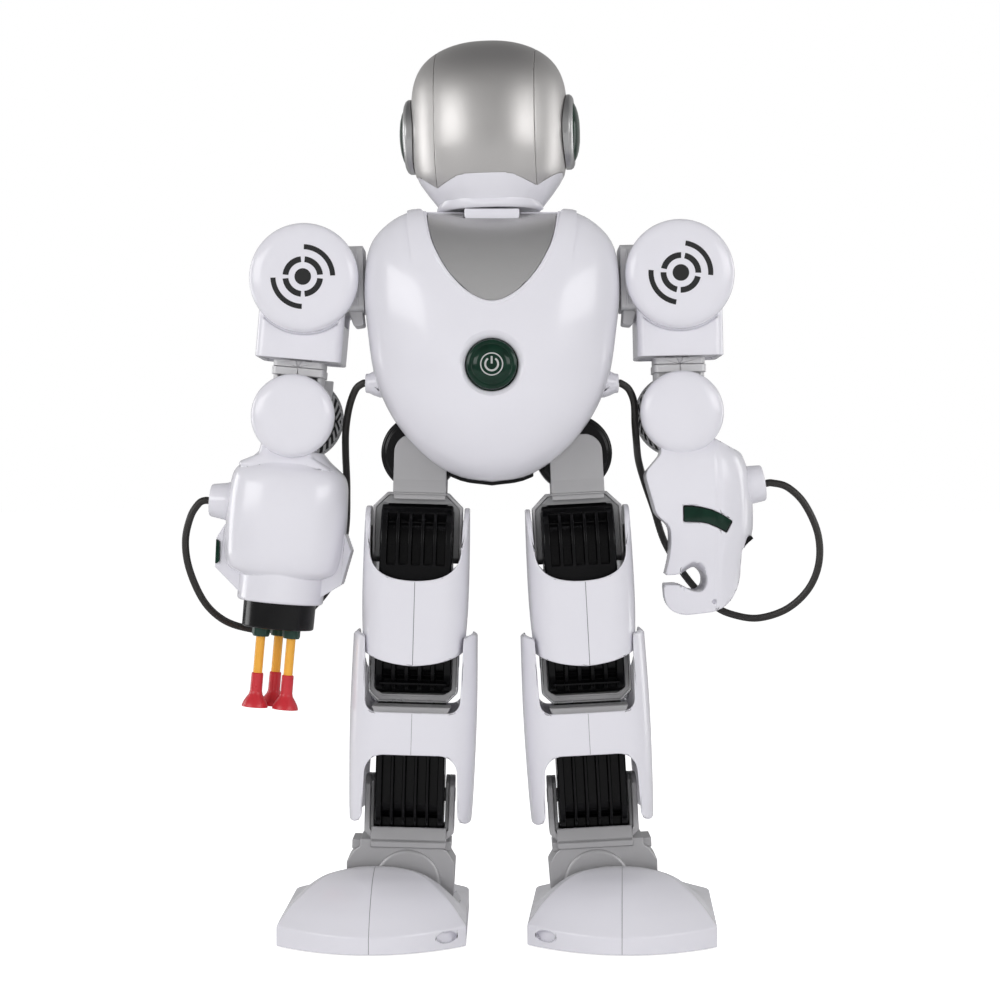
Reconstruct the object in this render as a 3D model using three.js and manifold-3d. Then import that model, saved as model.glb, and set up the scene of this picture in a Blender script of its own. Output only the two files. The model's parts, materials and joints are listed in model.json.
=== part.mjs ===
// A walking humanoid toy robot, in millimetres. It stands on the plane z = 0, faces -Y and
// has +Z up. "left" and "right" are the sides seen from the front: left is -X, right is +X.
// Each leg and each arm is a group placed at its top joint, so a turned limb keeps its shape.

import * as THREE from 'three';
import { mergeVertices } from 'three/addons/utils/BufferGeometryUtils.js';
import Module from 'manifold-3d';

const wasm = await Module();
wasm.setup();

// Clearances and walls
const gap = 0.3; // between two pieces that touch
const swing = 1.0; // between a turning block and the strap round it
const wall = 2.2; // moulded shells

// Place of the whole robot over the origin
const bodySetBack = 9; // the feet reach further forward than back, so the body stands behind y = 0

// Heights of the leg joints over the floor
const footAxisZ = 19.5;
const ankleAxisZ = 57;
const kneeAxisZ = 116;
const thighAxisZ = 166;
const hipAxisZ = 206.5;
const leftHipX = -31.6; // the robot stands with its hips a little to one side
const rightHipX = 35.7;
const leftLegLean = 1.6; // degrees, outwards
const rightLegLean = 3.1;

// Joint blocks and straps of the legs
const stubRadius = 3; // trunnions of every strap
const stubLength = 3.4;
const strapDepth = 18; // front to back
const thighBlockHalf = 15.6; // half widths of the ribbed blocks
const kneeBlockHalf = 16.6;
const ankleBlockHalf = 14.9;
const hipStrap = 3.2; // thickness of each strap
const kneeStrap = 2.2;
const ankleStrap = 3.4;
const strapHalf = 19.5; // half width over the straps
const thighBarrel = 19.5; // radius of each block round its axis
const kneeBarrel = 15;
const ankleBarrel = 15.8;
const ribCount = 6;
const slotWidth = 3.9;
const slotDepth = 3.2;
const endRibDrop = 3.4; // the two outer ribs are lower, to clear the chamfers of the strap

// Leg shells
const thighHalf = 23;
const thighFront = -28;
const thighBack = 26;
const thighTopZ = 183;
const thighCutZ = 151.4; // bottom of the U opening
const thighSideZ = 124; // lower edge at the sides
const thighFrontZ = 115; // lower edge at the middle of the front
const shinHalf = 28.4;
const shinFront = -27;
const shinBack = 25;
const shinTopZ = 129;
const shinRearZ = 96.5; // the back of its wings is lower, to fold under the thigh
const shinBottomZ = 48.2;
const webTopZ = 95; // the band between the two side wings
const webBottomZ = 76.8;
const wingInner = 19.6;

// Hip
const discRadius = 16.8;
const discHalf = 7.5; // half its depth
const cheekWidth = 23; // the flat plates in front of and behind the disc
const cheekThick = 5;
const cheekRise = 8; // straight part above the hip axis
const cheekShift = 1; // the plates sit a little to the left of the discs

// Feet
const leftFootX = -50.1; // the middles of the feet
const rightFootX = 53.7;
const wellFloor = 10.5; // the opening round the ankle goes down to here
const footFallY = -26; // the dome falls and narrows towards the heel behind this line
const footFallReach = 50;
const footFall = 0.35; // shares lost at the heel
const footNarrow = 0.28;
const footHalf = 39.5;
const toeY = -68;
const toeCornerY = -50;
const heelY = 50;
const heelCornerY = 34;
const footRimZ = 8; // height of the wall round the foot
const footTopZ = 29;
const footPeakY = -10;
const soleThick = 2.6;
const footDisc = 14.5; // the round end of the ankle bracket
const flareTop = 18; // half widths of the bracket's flared plate
const flareBottom = 23.6;
const flareLowZ = 24.6;
const flareShift = 3; // its middle lies outboard of the ankle
const footBracketHalf = 12; // half its depth
const footLug = 3.4;

// Torso
const seamY = -14; // between chest and back shells
const chestDepth = 28;
const backDepth = 48;
const backFlat = 22; // the straight part of the back shell's side
const shieldMiddleZ = 245;
const shieldTopZ = 310.8;
const shieldBottomZ = 193.8;
const buttonZ = 243;
const buttonRadius = 10.8;
const buttonRecess = 13.9;
const buttonTravel = 1.5;
const rimProud = 1.6; // the black rim below the shield
const rimHalf = 18;
const rimBack = -8.6;
const beamHalf = 6; // half depth of the spine and the shoulder beam
const spineHalf = 10;
const spineTopZ = 295.7;
const shoulderBeamEnd = 52;
const coverHalf = 27.7;
const coverLowZ = 233;
const coverHighZ = 287;
const glandRadius = 4.8;
const glandEnd = 55.2;
const glandY = -6;
const glandZ = 237;
const glandRoot = 36; // inside the wall

// Electrics in the torso
const boardHalf = 25;
const boardLowZ = 226;
const boardHighZ = 270;
const boardThick = 1.6;
const packHalf = 29;
const packLowZ = 236;
const packHighZ = 272;
const packBack = 29;
const cellRadius = 7;
const cellPitch = 14.4;
const cellY = 23;
const cellTopZ = 284;
const motorRadius = 9;
const motorZ = 225;
const motorBack = 24;
const speakerZ = 215.5;

// Neck and head
const collarHalf = 11.8;
const collarFront = -23.5;
const collarBack = 12;
const collarTopZ = 311;
const neckPost = 7;
const chinZ = 312.2;
const crownZ = 385.6;
const headHalf = 34.3;
const headTurn = -4.4; // degrees: the photographed head looks a little to its side
const headTilt = -1.2;
const neckSlack = 0.5;
const earZ = 346.6;
const earRadius = 16.3;
const earOut = 37.8;
const earDeep = 11;
const earPlug = 6; // radius of its pin in the helmet
const seamHalf = 21.4; // the visor's side seams

// Arms: heights are measured down from the shoulder, then down from the elbow
const shoulderX = 81;
const shoulderZ = 282.6;
const shoulderShrug = 1.5; // degrees: play of the brackets, the right arm sits higher
const axleSlack = 0.5;
const bearingX = 48; // middle of each bearing
const leftArmHang = 5; // degrees, outwards
const rightArmHang = 1.2;
const bracketHalfY = 12;
const bracketHalfZ = 14.2;
const bracketInner = 55.8; // its face beside the torso, from the centre plane
const axleRadius = 5;
const hubRadius = 16;
const capRadius = 23.6;
const capDepth = 7.7;
const cheek = 3.7; // the upper arm's plates beside the hub
const sleeveHalf = 18.7; // the square sleeve under the shoulder
const sleeveTop = -18.4;
const sleeveBottom = -35;
const swivelRadius = 11.5;
const swivelBottom = -41.8;
const swivelAxle = 5;
const elbowDrop = 59.5; // shoulder axis to elbow axis
const elbowHub = 13;
const elbowHubHalf = 8.5;
const elbowCheek = 16.5;
const elbowCap = 18.1;
const elbowCapDepth = 8;
const elbowDisc = 17.3;
const elbowDiscDepth = 8;

// Dart launcher on the left arm
const launcherHalf = 26;
const collarRadius = 18.7;
const launcherCollarTop = -69;
const launcherCollarEnd = -82;
const muzzleRadius = 15.8;
const muzzleEnd = -93;
const muzzleTop = -70.5;
const barrelRadius = 3.6;
const barrelEnd = -97;
const barrelPitch = 7.7; // each barrel from the launcher's axis
const dartRadius = 1.9;
const dartSleeve = 2.6;
const dartCup = 5.6;
const dartTop = -73;
const dartSleeveTop = -113;
const dartCupTop = -122.5;
const dartEnd = -128;
const launcherGlandDrop = -39.6;
const launcherGlandEnd = 34;
const launcherGlandRadius = 7;
const glandFlare = 1.6; // how much wider each gland is at its root

// Claw hand on the right arm
const clawGlandDrop = -31.5;
const clawGlandEnd = 37.2;
const clawGlandRadius = 7.4;
const clawBodyHalf = 20; // half depth of the forearm
const clawHandHalf = 10; // half depth of the jaws

const hoseRadius = 1.6;

const simplest = 0.04; // details smaller than this are left out of the meshes

// ---------------------------------------------------------------- solids

const FINISHES = {
  white: [0xe9e8ef, 0.22, 0],
  silver: [0xaaa9a8, 0.38, 0.75],
  grey: [0x85868a, 0.42, 0.35],
  bright: [0xb9babd, 0.3, 0.6],
  black: [0x0e0f10, 0.2, 0],
  rubber: [0x1a1918, 0.5, 0],
  green: [0x062a18, 0.12, 0],
  orange: [0xf79a1c, 0.45, 0],
  board: [0x14592f, 0.5, 0],
  cell: [0x2a2c31, 0.45, 0],
  steel: [0x9a9da0, 0.35, 0.9],
};

// Gives a closed geometry as a solid that can be cut and joined.
function solidOf(geometry) {
  const bare = geometry.clone();
  bare.deleteAttribute('normal');
  bare.deleteAttribute('uv');
  const merged = mergeVertices(bare, 1e-4);
  return new wasm.Manifold(new wasm.Mesh({
    numProp: 3,
    vertProperties: new Float32Array(merged.attributes.position.array),
    triVerts: new Uint32Array(merged.index.array),
  }));
}

function geometryOf(solid) {
  const mesh = solid.simplify(simplest).getMesh();
  const geometry = new THREE.BufferGeometry();
  geometry.setAttribute('position', new THREE.BufferAttribute(mesh.vertProperties, 3));
  geometry.setIndex(new THREE.BufferAttribute(mesh.triVerts, 1));
  geometry.computeVertexNormals();
  return geometry;
}

function join(...solids) {
  return solids.reduce((whole, next) => whole.add(next));
}

function cut(solid, ...tools) {
  return tools.reduce((whole, tool) => whole.subtract(tool), solid);
}

function slab(x0, x1, y0, y1, z0, z1) {
  const geometry = new THREE.BoxGeometry(x1 - x0, y1 - y0, z1 - z0);
  geometry.translate((x0 + x1) / 2, (y0 + y1) / 2, (z0 + z1) / 2);
  return solidOf(geometry);
}

// A round bar along 'x', 'y' or 'z'; a and b are its other two coordinates, in that order.
function cone(axis, fromRadius, toRadius, from, to, a = 0, b = 0, sides = 18) {
  const geometry = new THREE.CylinderGeometry(toRadius, fromRadius, to - from, sides);
  if (axis === 'x') {
    geometry.rotateZ(-Math.PI / 2);
    geometry.translate((from + to) / 2, a, b);
  } else if (axis === 'y') {
    geometry.translate(a, (from + to) / 2, b);
  } else {
    geometry.rotateX(Math.PI / 2);
    geometry.translate(a, b, (from + to) / 2);
  }
  return solidOf(geometry);
}

function rod(axis, radius, from, to, a = 0, b = 0, sides = 18) {
  return cone(axis, radius, radius, from, to, a, b, sides);
}

// A closed outline from corner points, each rounded by its radius (third number, or none).
function outline(points) {
  const shape = new THREE.Shape();
  const count = points.length;
  points.forEach(([x, y, radius = 0], index) => {
    const corner = new THREE.Vector2(x, y);
    const before = new THREE.Vector2(...points[(index + count - 1) % count].slice(0, 2));
    const after = new THREE.Vector2(...points[(index + 1) % count].slice(0, 2));
    const start = before.sub(corner).setLength(radius).add(corner);
    const end = after.sub(corner).setLength(radius).add(corner);
    if (index === 0) {
      shape.moveTo(start.x, start.y);
    } else {
      shape.lineTo(start.x, start.y);
    }
    if (radius > 0) {
      shape.quadraticCurveTo(corner.x, corner.y, end.x, end.y);
    }
  });
  shape.closePath();
  return shape;
}

// Extrudes an outline drawn in two of the axes along the third one.
const PLANES = {
  xy: new THREE.Matrix4(),
  xz: new THREE.Matrix4().makeBasis(
    new THREE.Vector3(1, 0, 0), new THREE.Vector3(0, 0, 1), new THREE.Vector3(0, -1, 0)),
  yz: new THREE.Matrix4().makeBasis(
    new THREE.Vector3(0, 1, 0), new THREE.Vector3(0, 0, 1), new THREE.Vector3(1, 0, 0)),
};

function extrude(plane, shape, from, to, { bevel = 0, curve = 3 } = {}) {
  const geometry = new THREE.ExtrudeGeometry(shape, {
    depth: to - from - 2 * bevel,
    curveSegments: curve,
    bevelEnabled: bevel > 0,
    bevelThickness: bevel,
    bevelSize: bevel,
    bevelOffset: -bevel,
    bevelSegments: 2,
  });
  const near = plane === 'xz' ? -to : from;
  geometry.translate(0, 0, near + bevel);
  geometry.applyMatrix4(PLANES[plane]);
  return solidOf(geometry);
}

// A closed skin over a stack of rings with equal numbers of points.
function loft(rings) {
  const count = rings[0].length;
  const points = rings.flat();
  const faces = [];
  rings.slice(1).forEach((ring, level) => {
    for (let i = 0; i < count; i += 1) {
      const next = (i + 1) % count;
      const low = level * count;
      const high = low + count;
      faces.push(low + i, low + next, high + next, low + i, high + next, high + i);
    }
  });
  [0, rings.length - 1].forEach((level) => {
    const centre = new THREE.Vector3();
    rings[level].forEach((point) => centre.add(point));
    points.push(centre.divideScalar(count));
    for (let i = 0; i < count; i += 1) {
      const here = level * count + i;
      const next = level * count + (i + 1) % count;
      faces.push(points.length - 1, ...(level === 0 ? [next, here] : [here, next]));
    }
  });
  let volume = 0;
  for (let i = 0; i < faces.length; i += 3) {
    const [a, b, c] = faces.slice(i, i + 3).map((index) => points[index]);
    volume += a.dot(b.clone().cross(c));
  }
  if (volume < 0) {
    faces.reverse();
  }
  const geometry = new THREE.BufferGeometry().setFromPoints(points);
  geometry.setIndex(faces);
  return solidOf(geometry);
}

// Every second entry, for the inner face of a shell.
function coarser(list) {
  return list.filter((_, index) => index % 2 === 0);
}

// One level ring: an oval that gets squarer as power rises above 2.
function levelRing(z, halfX, front, back, power, count = 22) {
  const middle = (front + back) / 2;
  const halfY = (back - front) / 2;
  return Array.from({ length: count }, (_, i) => {
    const angle = ((i + 0.5) / count) * 2 * Math.PI;
    const across = Math.cos(angle);
    const along = Math.sin(angle);
    return new THREE.Vector3(
      halfX * Math.sign(across) * Math.abs(across) ** (2 / power),
      middle + halfY * Math.sign(along) * Math.abs(along) ** (2 / power),
      z);
  });
}

// A turned piece: the profile gives [radius, height] pairs, and it stands along z.
function turned(profile, sides = 18) {
  const points = profile.map(([radius, height]) => new THREE.Vector2(radius, height));
  const geometry = new THREE.LatheGeometry(points, sides);
  geometry.rotateX(Math.PI / 2);
  return solidOf(geometry);
}

// The same with its axis along y: heights run towards -Y, the front.
function turnedForward(profile, x, y, z, sides = 20) {
  return turned(profile, sides).rotate([90, 0, 0]).translate([x, y, z]);
}

function addPiece(parent, name, solid, finish) {
  const [color, roughness, metalness] = FINISHES[finish];
  const material = new THREE.MeshStandardMaterial({ color, roughness, metalness });
  const mesh = new THREE.Mesh(geometryOf(solid), material);
  mesh.name = name;
  parent.add(mesh);
}

function radians(degrees) {
  return (degrees * Math.PI) / 180;
}

// ---------------------------------------------------------------- torso

const robot = new THREE.Group();
robot.position.y = bodySetBack;

// The heart-shaped outline of the torso, seen from the front: half of it, from top to tip.
const shieldHalf = new THREE.SplineCurve([
  [0, shieldTopZ], [24, shieldTopZ], [36.4, shieldTopZ - 0.6], [47, 303.6], [53.3, 294], [55.2, 277.4],
  [53.9, 260.5], [50.3, 238], [41.6, 219.4], [28.4, 204.6], [14.5, 196.2], [0, shieldBottomZ],
].map(([x, z]) => new THREE.Vector2(x, z)));

function shieldPoints(scale, y, grow = 0) {
  const half = shieldHalf.getPoints(13);
  const other = half.slice(1, -1).reverse().map((p) => new THREE.Vector2(-p.x, p.y));
  return [...half, ...other].map((p) => {
    const arm = new THREE.Vector2(p.x, p.y - shieldMiddleZ);
    arm.multiplyScalar(scale).setLength(arm.length() + grow);
    return new THREE.Vector3(arm.x, y, shieldMiddleZ + arm.y);
  });
}

// A pillow over the shield outline that swells from the seam to one side.
function shieldPillow(direction, depth, straight, power, inset = 0) {
  const rings = [shieldPoints(1, seamY, -inset)];
  if (straight > 0) {
    rings.push(shieldPoints(1, seamY + direction * straight, -inset));
  }
  const steps = 4;
  for (let step = 1; step <= steps; step += 1) {
    const angle = (step / (steps + 0.3)) * (Math.PI / 2);
    const out = straight + (depth - straight - inset) * Math.sin(angle) ** (2 / power);
    const scale = Math.cos(angle) ** (2 / power);
    rings.push(shieldPoints(scale, seamY + direction * out, -inset * scale));
  }
  return loft(rings);
}

const chestPower = 2.3;
const backPower = 2.8;
const neckHole = slab(
  -collarHalf - gap, collarHalf + gap, collarFront - gap, collarBack + gap, 290, 320);

// The U of the neckline, as a band that runs through the chest from front to seam.
function necklineBand(shrink) {
  const edge = new THREE.SplineCurve([
    [-28.8, 320], [-28.2, 309], [-25.6, 296], [-19.2, 283.4], [-10, 273.6],
    [0, 269.7], [10, 273.6], [19.2, 283.4], [25.6, 296], [28.2, 309], [28.8, 320],
  ].map(([x, z]) => new THREE.Vector2(x * (1 - shrink / 28.8), z + shrink)));
  const shape = new THREE.Shape(edge.getPoints(26));
  shape.closePath();
  return extrude('xz', shape, seamY - chestDepth - 5, seamY + 5);
}

const chestOuter = shieldPillow(-1, chestDepth, 0, chestPower);
const chestInner = shieldPillow(-1, chestDepth, 0, chestPower, wall);
const chestFrontY = seamY - chestDepth;
addPiece(robot, 'chest_shell', cut(
  chestOuter,
  join(chestInner, slab(-48, 48, seamY - 1, seamY + 1, 205, 300)
    .intersect(shieldPillow(-1, chestDepth, 0, chestPower, wall).translate([0, 1, 0]))),
  necklineBand(0),
  neckHole,
  rod('y', buttonRadius + gap, chestFrontY - 2, chestFrontY + 8, 0, buttonZ, 20),
  cone('y', buttonRecess + 1, buttonRadius, chestFrontY - 1.2, chestFrontY + 2.6, 0, buttonZ, 20),
), 'white');

addPiece(robot, 'neckline_panel', cut(
  shieldPillow(-1, chestDepth, 0, chestPower, 1).subtract(
    shieldPillow(-1, chestDepth, 0, chestPower, 1 + wall)),
  neckHole,
).intersect(necklineBand(gap)), 'silver');

const hipHoles = [leftHipX, rightHipX].map((x) => rod(
  'y', discRadius + 2, seamY - 1, seamY + backDepth + 5, x, hipAxisZ, 22));
const glands = [-1, 1].map((side) => (side < 0
  ? cone('x', glandRadius * 0.85, glandRadius * 1.2, -glandEnd, -glandRoot, glandY, glandZ, 12)
  : cone('x', glandRadius * 1.2, glandRadius * 0.85, glandRoot, glandEnd, glandY, glandZ, 12)));
const backOuter = shieldPillow(1, backDepth, backFlat, backPower).translate([0, gap, 0]);
const backInner = shieldPillow(1, backDepth, backFlat, backPower, wall);
const backWall = cut(join(backOuter, ...glands), backInner);
const coverSpace = (margin) => slab(
  -coverHalf - margin, coverHalf + margin, 12, seamY + backDepth + 5,
  coverLowZ - margin, coverHighZ + margin);
const axleHoles = rod('x', axleRadius + 1, -70, 70, 0, shoulderZ, 16);
addPiece(robot, 'back_shell', cut(
  backWall, ...hipHoles, coverSpace(gap), axleHoles, neckHole,
  slab(-rimHalf - gap, rimHalf + gap, seamY - 1, rimBack + gap, 180, 212)), 'white');
addPiece(robot, 'battery_cover', backWall.intersect(coverSpace(0)), 'white');

// The frame inside: spine, shoulder beam with its two bearings, hip beam and hip housings.
const rimFront = seamY + gap;
const hipBeamLow = hipAxisZ - 5.5;
const hipBeamHigh = hipAxisZ + 6.5;
const chassisRim = loft([
  shieldPoints(1, rimFront, rimProud), shieldPoints(1, rimBack, rimProud),
]).intersect(slab(-rimHalf, rimHalf, seamY, 0, 180, 212));
const bearings = [-1, 1].map((side) => rod(
  'x', axleRadius + axleSlack, side < 0 ? -70 : 44, side < 0 ? -44 : 70, 0, shoulderZ, 16));
const hipBores = [leftHipX, rightHipX].map((x) => rod(
  'y', stubRadius + gap, -30, 30, x, hipAxisZ, 12));
addPiece(robot, 'waist_chassis', cut(
  join(
    slab(-spineHalf, spineHalf, -beamHalf, beamHalf, 200, spineTopZ),
    slab(-shoulderBeamEnd, shoulderBeamEnd, -beamHalf, beamHalf, shoulderZ - 8, shoulderZ + 8)
      .intersect(backInner),
    slab(leftHipX, rightHipX, -discHalf, discHalf, hipBeamLow, hipBeamHigh),
    slab(-12, 12, rimFront, -discHalf + 1, hipBeamLow, hipBeamHigh - 1),
    chassisRim,
    rod('y', discRadius, -discHalf, discHalf, leftHipX, hipAxisZ, 24),
    rod('y', discRadius, -discHalf, discHalf, rightHipX, hipAxisZ, 24),
  ),
  ...bearings, ...hipBores), 'black');

const boardFront = -beamHalf - gap - boardThick;
addPiece(robot, 'circuit_board', slab(
  -boardHalf, boardHalf, boardFront, -beamHalf - gap, boardLowZ, boardHighZ), 'board');
addPiece(robot, 'battery_pack', join(
  slab(-packHalf, packHalf, beamHalf + gap, cellY - cellRadius + 1, packLowZ, packHighZ),
  ...[-1.5, -0.5, 0.5, 1.5].map((place) => rod(
    'z', cellRadius, packLowZ + 0.5, cellTopZ, place * cellPitch, cellY, 12)),
  slab(-packHalf + 0.4, packHalf - 0.4, 12, packBack, packLowZ, packLowZ + 3),
).intersect(shieldPillow(1, backDepth, backFlat, backPower, wall + gap)), 'cell');
addPiece(robot, 'drive_motor', join(
  rod('y', motorRadius, beamHalf + gap, motorBack, 0, motorZ, 18),
  rod('y', motorRadius / 3, motorBack - 1, motorBack + 3, 0, motorZ, 10)), 'steel');
addPiece(robot, 'speaker', turnedForward(
  [[0, 0], [6.5, 0], [6.5, 6], [10.8, 11], [10.8, 13.4], [8.6, 13.4], [3.6, 10], [0, 10]],
  0, rimFront - gap, speakerZ, 20), 'rubber');

// The round power button with its stem, which reaches back to a switch on the board.
const buttonStemEnd = boardFront - buttonTravel - gap;
const buttonBaseY = chestFrontY + 4;
addPiece(robot, 'power_button', join(
  turnedForward([
    [0, 0], [buttonRadius, 0], [buttonRadius, 2.6], [9.6, 4.4], [7.4, 5.4], [0, 5.8],
  ], 0, buttonBaseY, buttonZ, 22),
  rod('y', 2.5, buttonBaseY - 1, buttonStemEnd, 0, buttonZ, 10)), 'green');

addPiece(robot, 'neck_collar', cut(
  extrude('xz', outline([
    [-collarHalf, spineTopZ + gap], [collarHalf, spineTopZ + gap],
    [collarHalf, collarTopZ], [-collarHalf, collarTopZ],
  ]), collarFront, collarBack),
  slab(-20, 20, -40, -14, 280, 305.6),
  rod('z', neckPost + neckSlack, spineTopZ + 1.5, 320, 0, 0, 18)), 'white');

// ---------------------------------------------------------------- head

const beyond = 60; // how far the cutting tools reach out of the head
const headTall = crownZ - chinZ;
const crown = crownZ + beyond / 2;

// Half width, front, back (shares of the head's half width) and height (share of its height)
// of the head's levels, from chin to crown.
const headLevels = [
  [0.627, -0.711, 0.595, 0], [0.717, -0.805, 0.688, 0.054], [0.834, -0.921, 0.834, 0.127],
  [0.939, -1.009, 0.933, 0.208], [0.985, -1.09, 1.026, 0.338], [1, -1.108, 1.061, 0.501],
  [0.991, -1.073, 1.044, 0.665], [0.945, -0.985, 0.98, 0.787], [0.828, -0.834, 0.845, 0.883],
  [0.624, -0.624, 0.636, 0.954], [0.344, -0.35, 0.362, 1],
].map(([half, front, back, rise]) => [
  half * headHalf, front * headHalf, back * headHalf, chinZ + rise * headTall]);
function headForm(grow) {
  const levels = grow < 0 ? coarser(headLevels) : headLevels;
  return loft(levels.map(([half, front, back, z], index) => {
    const share = index === levels.length - 1 ? 0.4 : 1;
    const lift = (z - chinZ) / headTall * 1.9 - 1;
    return levelRing(
      z + grow * lift ** 5, half + grow * share, front - grow * share, back + grow * share, 2.3);
  }));
}
// The wavy lower edge of the silver helmet, seen from the front: heights over the chin.
const helmetEdge = [
  [-beyond, 18.3], [-33, 16.4], [-21, 8.4], [-11.8, 12.4],
  [11.8, 12.4], [21, 8.4], [33, 16.4], [beyond, 18.3],
];
function aboveHelmetEdge(lift) {
  return extrude('xz', outline([
    ...helmetEdge.map(([x, rise]) => [x, chinZ + rise + lift]), [beyond, crown], [-beyond, crown],
  ]), -beyond, beyond);
}
const neck = new THREE.Group();
neck.position.z = spineTopZ + 8;
neck.rotation.y = radians(headTilt);
robot.add(neck);
const head = new THREE.Group(); // heights in it are heights over the floor again
head.position.z = -neck.position.z;
neck.add(head);
head.rotation.z = radians(headTurn);
const headShell = cut(headForm(0), headForm(-wall));
const visorSpace = (margin) => slab(
  -seamHalf - margin, seamHalf + margin, -beyond, margin, chinZ - 10, crown);
const helmet = headShell.intersect(aboveHelmetEdge(0));
const earBores = rod('x', earPlug + gap, -beyond, beyond, 0, earZ, 16);
addPiece(head, 'face_visor', helmet.intersect(visorSpace(0)), 'silver');
addPiece(head, 'head_shell', cut(helmet, visorSpace(gap), earBores), 'silver');
addPiece(head, 'chin_shell', join(
  cut(headShell, aboveHelmetEdge(-gap)),
  rod('z', neckPost, spineTopZ + 2, chinZ + 1, 0, 0, 18)), 'white');
const grownHead = headForm(gap);
[['left_ear', -1], ['right_ear', 1]].forEach(([name, side]) => {
  const pad = turned([
    [0, 0], [earRadius, 0], [earRadius, earDeep - 2], [earRadius - 1.4, earDeep],
    [earRadius - 5.3, earDeep], [earRadius - 7.3, earDeep + 1.2], [0, earDeep + 1.8],
  ], 22).rotate([0, 90 * side, 0]).translate([side * (earOut - earDeep), 0, earZ]);
  const plug = rod('x', earPlug, side < 0 ? -35 : 25, side < 0 ? -25 : 35, 0, earZ, 16);
  const room = slab(-beyond, beyond, -20, 20, earZ - 26, earZ + 23);
  addPiece(head, name, join(
    cut(pad, grownHead), plug.intersect(cut(room, headForm(-wall - 2)))), 'green');
});

// ---------------------------------------------------------------- legs

// A strap bent round a block, with a trunnion on each arm. way is 1 when its bar lies above
// the axis and -1 when it lies below.
function strap(way, thick, barZ, armEndZ, axisZ, chamfer) {
  const inner = strapHalf - thick;
  const slope = chamfer - thick * 0.5;
  const bar = extrude('xz', outline([
    [-strapHalf, armEndZ], [-inner, armEndZ],
    [-inner, barZ - way * (thick + slope)], [-inner + slope, barZ - way * thick],
    [inner - slope, barZ - way * thick], [inner, barZ - way * (thick + slope)],
    [inner, armEndZ], [strapHalf, armEndZ],
    [strapHalf, barZ - way * chamfer], [strapHalf - chamfer, barZ],
    [-strapHalf + chamfer, barZ], [-strapHalf, barZ - way * chamfer],
  ]), -strapDepth / 2, strapDepth / 2);
  return join(
    bar,
    rod('x', stubRadius, -inner - 1, -inner + stubLength, 0, axisZ, 12),
    rod('x', stubRadius, inner - stubLength, inner + 1, 0, axisZ, 12));
}

// One upright ring of a block, across x: round about its axis, straight towards its seat.
function blockRing(x, radius, axisZ, seatZ) {
  const up = Math.sign(axisZ - seatZ);
  const steps = 8;
  const arc = Array.from({ length: steps + 1 }, (_, i) => {
    const angle = (i / steps) * Math.PI;
    return new THREE.Vector3(x, radius * Math.cos(angle), axisZ + up * radius * Math.sin(angle));
  });
  return [...arc, new THREE.Vector3(x, -radius, seatZ), new THREE.Vector3(x, radius, seatZ)];
}

// A block of ribs and slots across x, with a bore for the strap's trunnion on each side.
function ribbedBlock(half, radius, axisZ, seatZ, boreFrom) {
  const pitch = (2 * half + slotWidth) / ribCount;
  const rings = [];
  for (let i = 0; i < ribCount; i += 1) {
    const start = -half + i * pitch;
    const ribEnd = start + pitch - slotWidth;
    const ribDrop = i === 0 || i === ribCount - 1 ? endRibDrop : 0;
    const slotDrop = i === 0 || i === ribCount - 2 ? endRibDrop : 0;
    rings.push(blockRing(start, radius - ribDrop, axisZ, seatZ));
    rings.push(blockRing(ribEnd, radius - ribDrop, axisZ, seatZ));
    if (i < ribCount - 1) {
      rings.push(blockRing(ribEnd, radius - slotDepth - slotDrop, axisZ, seatZ));
      rings.push(blockRing(start + pitch, radius - slotDepth - slotDrop, axisZ, seatZ));
    }
  }
  const bores = [-1, 1].map((side) => rod(
    'x', stubRadius + gap, side < 0 ? -40 : boreFrom, side < 0 ? -boreFrom : 40, 0, axisZ, 12));
  return cut(loft(rings), ...bores);
}

function boreStart(strapThick) {
  return strapHalf - strapThick - stubLength - gap;
}

// The foot's outline on the ground, from its middle, with a bowed toe and a round heel.
function footRing(scale, z, inset = 0, dip = 0) {
  const half = [];
  const toeSteps = 5;
  for (let i = 0; i <= toeSteps; i += 1) {
    const t = i / toeSteps;
    half.push([footHalf * t, toeY + (toeCornerY - toeY) * t ** 2]);
  }
  const heelSteps = 6;
  for (let i = 0; i <= heelSteps; i += 1) {
    const angle = (i / heelSteps) * (Math.PI / 2);
    half.push([
      footHalf * Math.cos(angle) ** 0.8, heelCornerY + (heelY - heelCornerY) * Math.sin(angle) ** 0.8,
    ]);
  }
  const other = half.slice(1, -1).reverse().map(([x, y]) => [-x, y]);
  const shrink = 1 - inset / footHalf;
  const raised = Math.max(0, z + inset - footRimZ);
  const narrowing = footNarrow * Math.min(1, (1 - scale) / 0.15);
  return [...half, ...other].map(([x, y]) => {
    const drop = dip * (1 - Math.abs(x / footHalf)) * (y < toeCornerY ? 1 : 0);
    const along = footPeakY + (y - footPeakY) * scale * shrink;
    const back = Math.min(1, Math.max(0, (along - footFallY) / footFallReach));
    return new THREE.Vector3(
      x * scale * shrink * (1 - narrowing * back), along, z - drop - footFall * back * raised);
  });
}

function footDome(inset) {
  // share of the plan at each height, from the rim up to the instep
  const levels = [
    [1, footRimZ + 0.8], [0.95, 11.4], [0.85, 16.4], [0.7, 21.8], [0.5, 26.4], [0.2, footTopZ],
  ];
  const rings = [
    footRing(1, inset > 0 ? -1 : 0.4, inset),
    ...levels.map(([scale, z], i) => footRing(scale, z - inset, inset, i < 2 ? 1.6 : 0)),
  ];
  return loft(inset > 0 ? [rings[0], ...coarser(rings.slice(1))] : rings);
}

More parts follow.
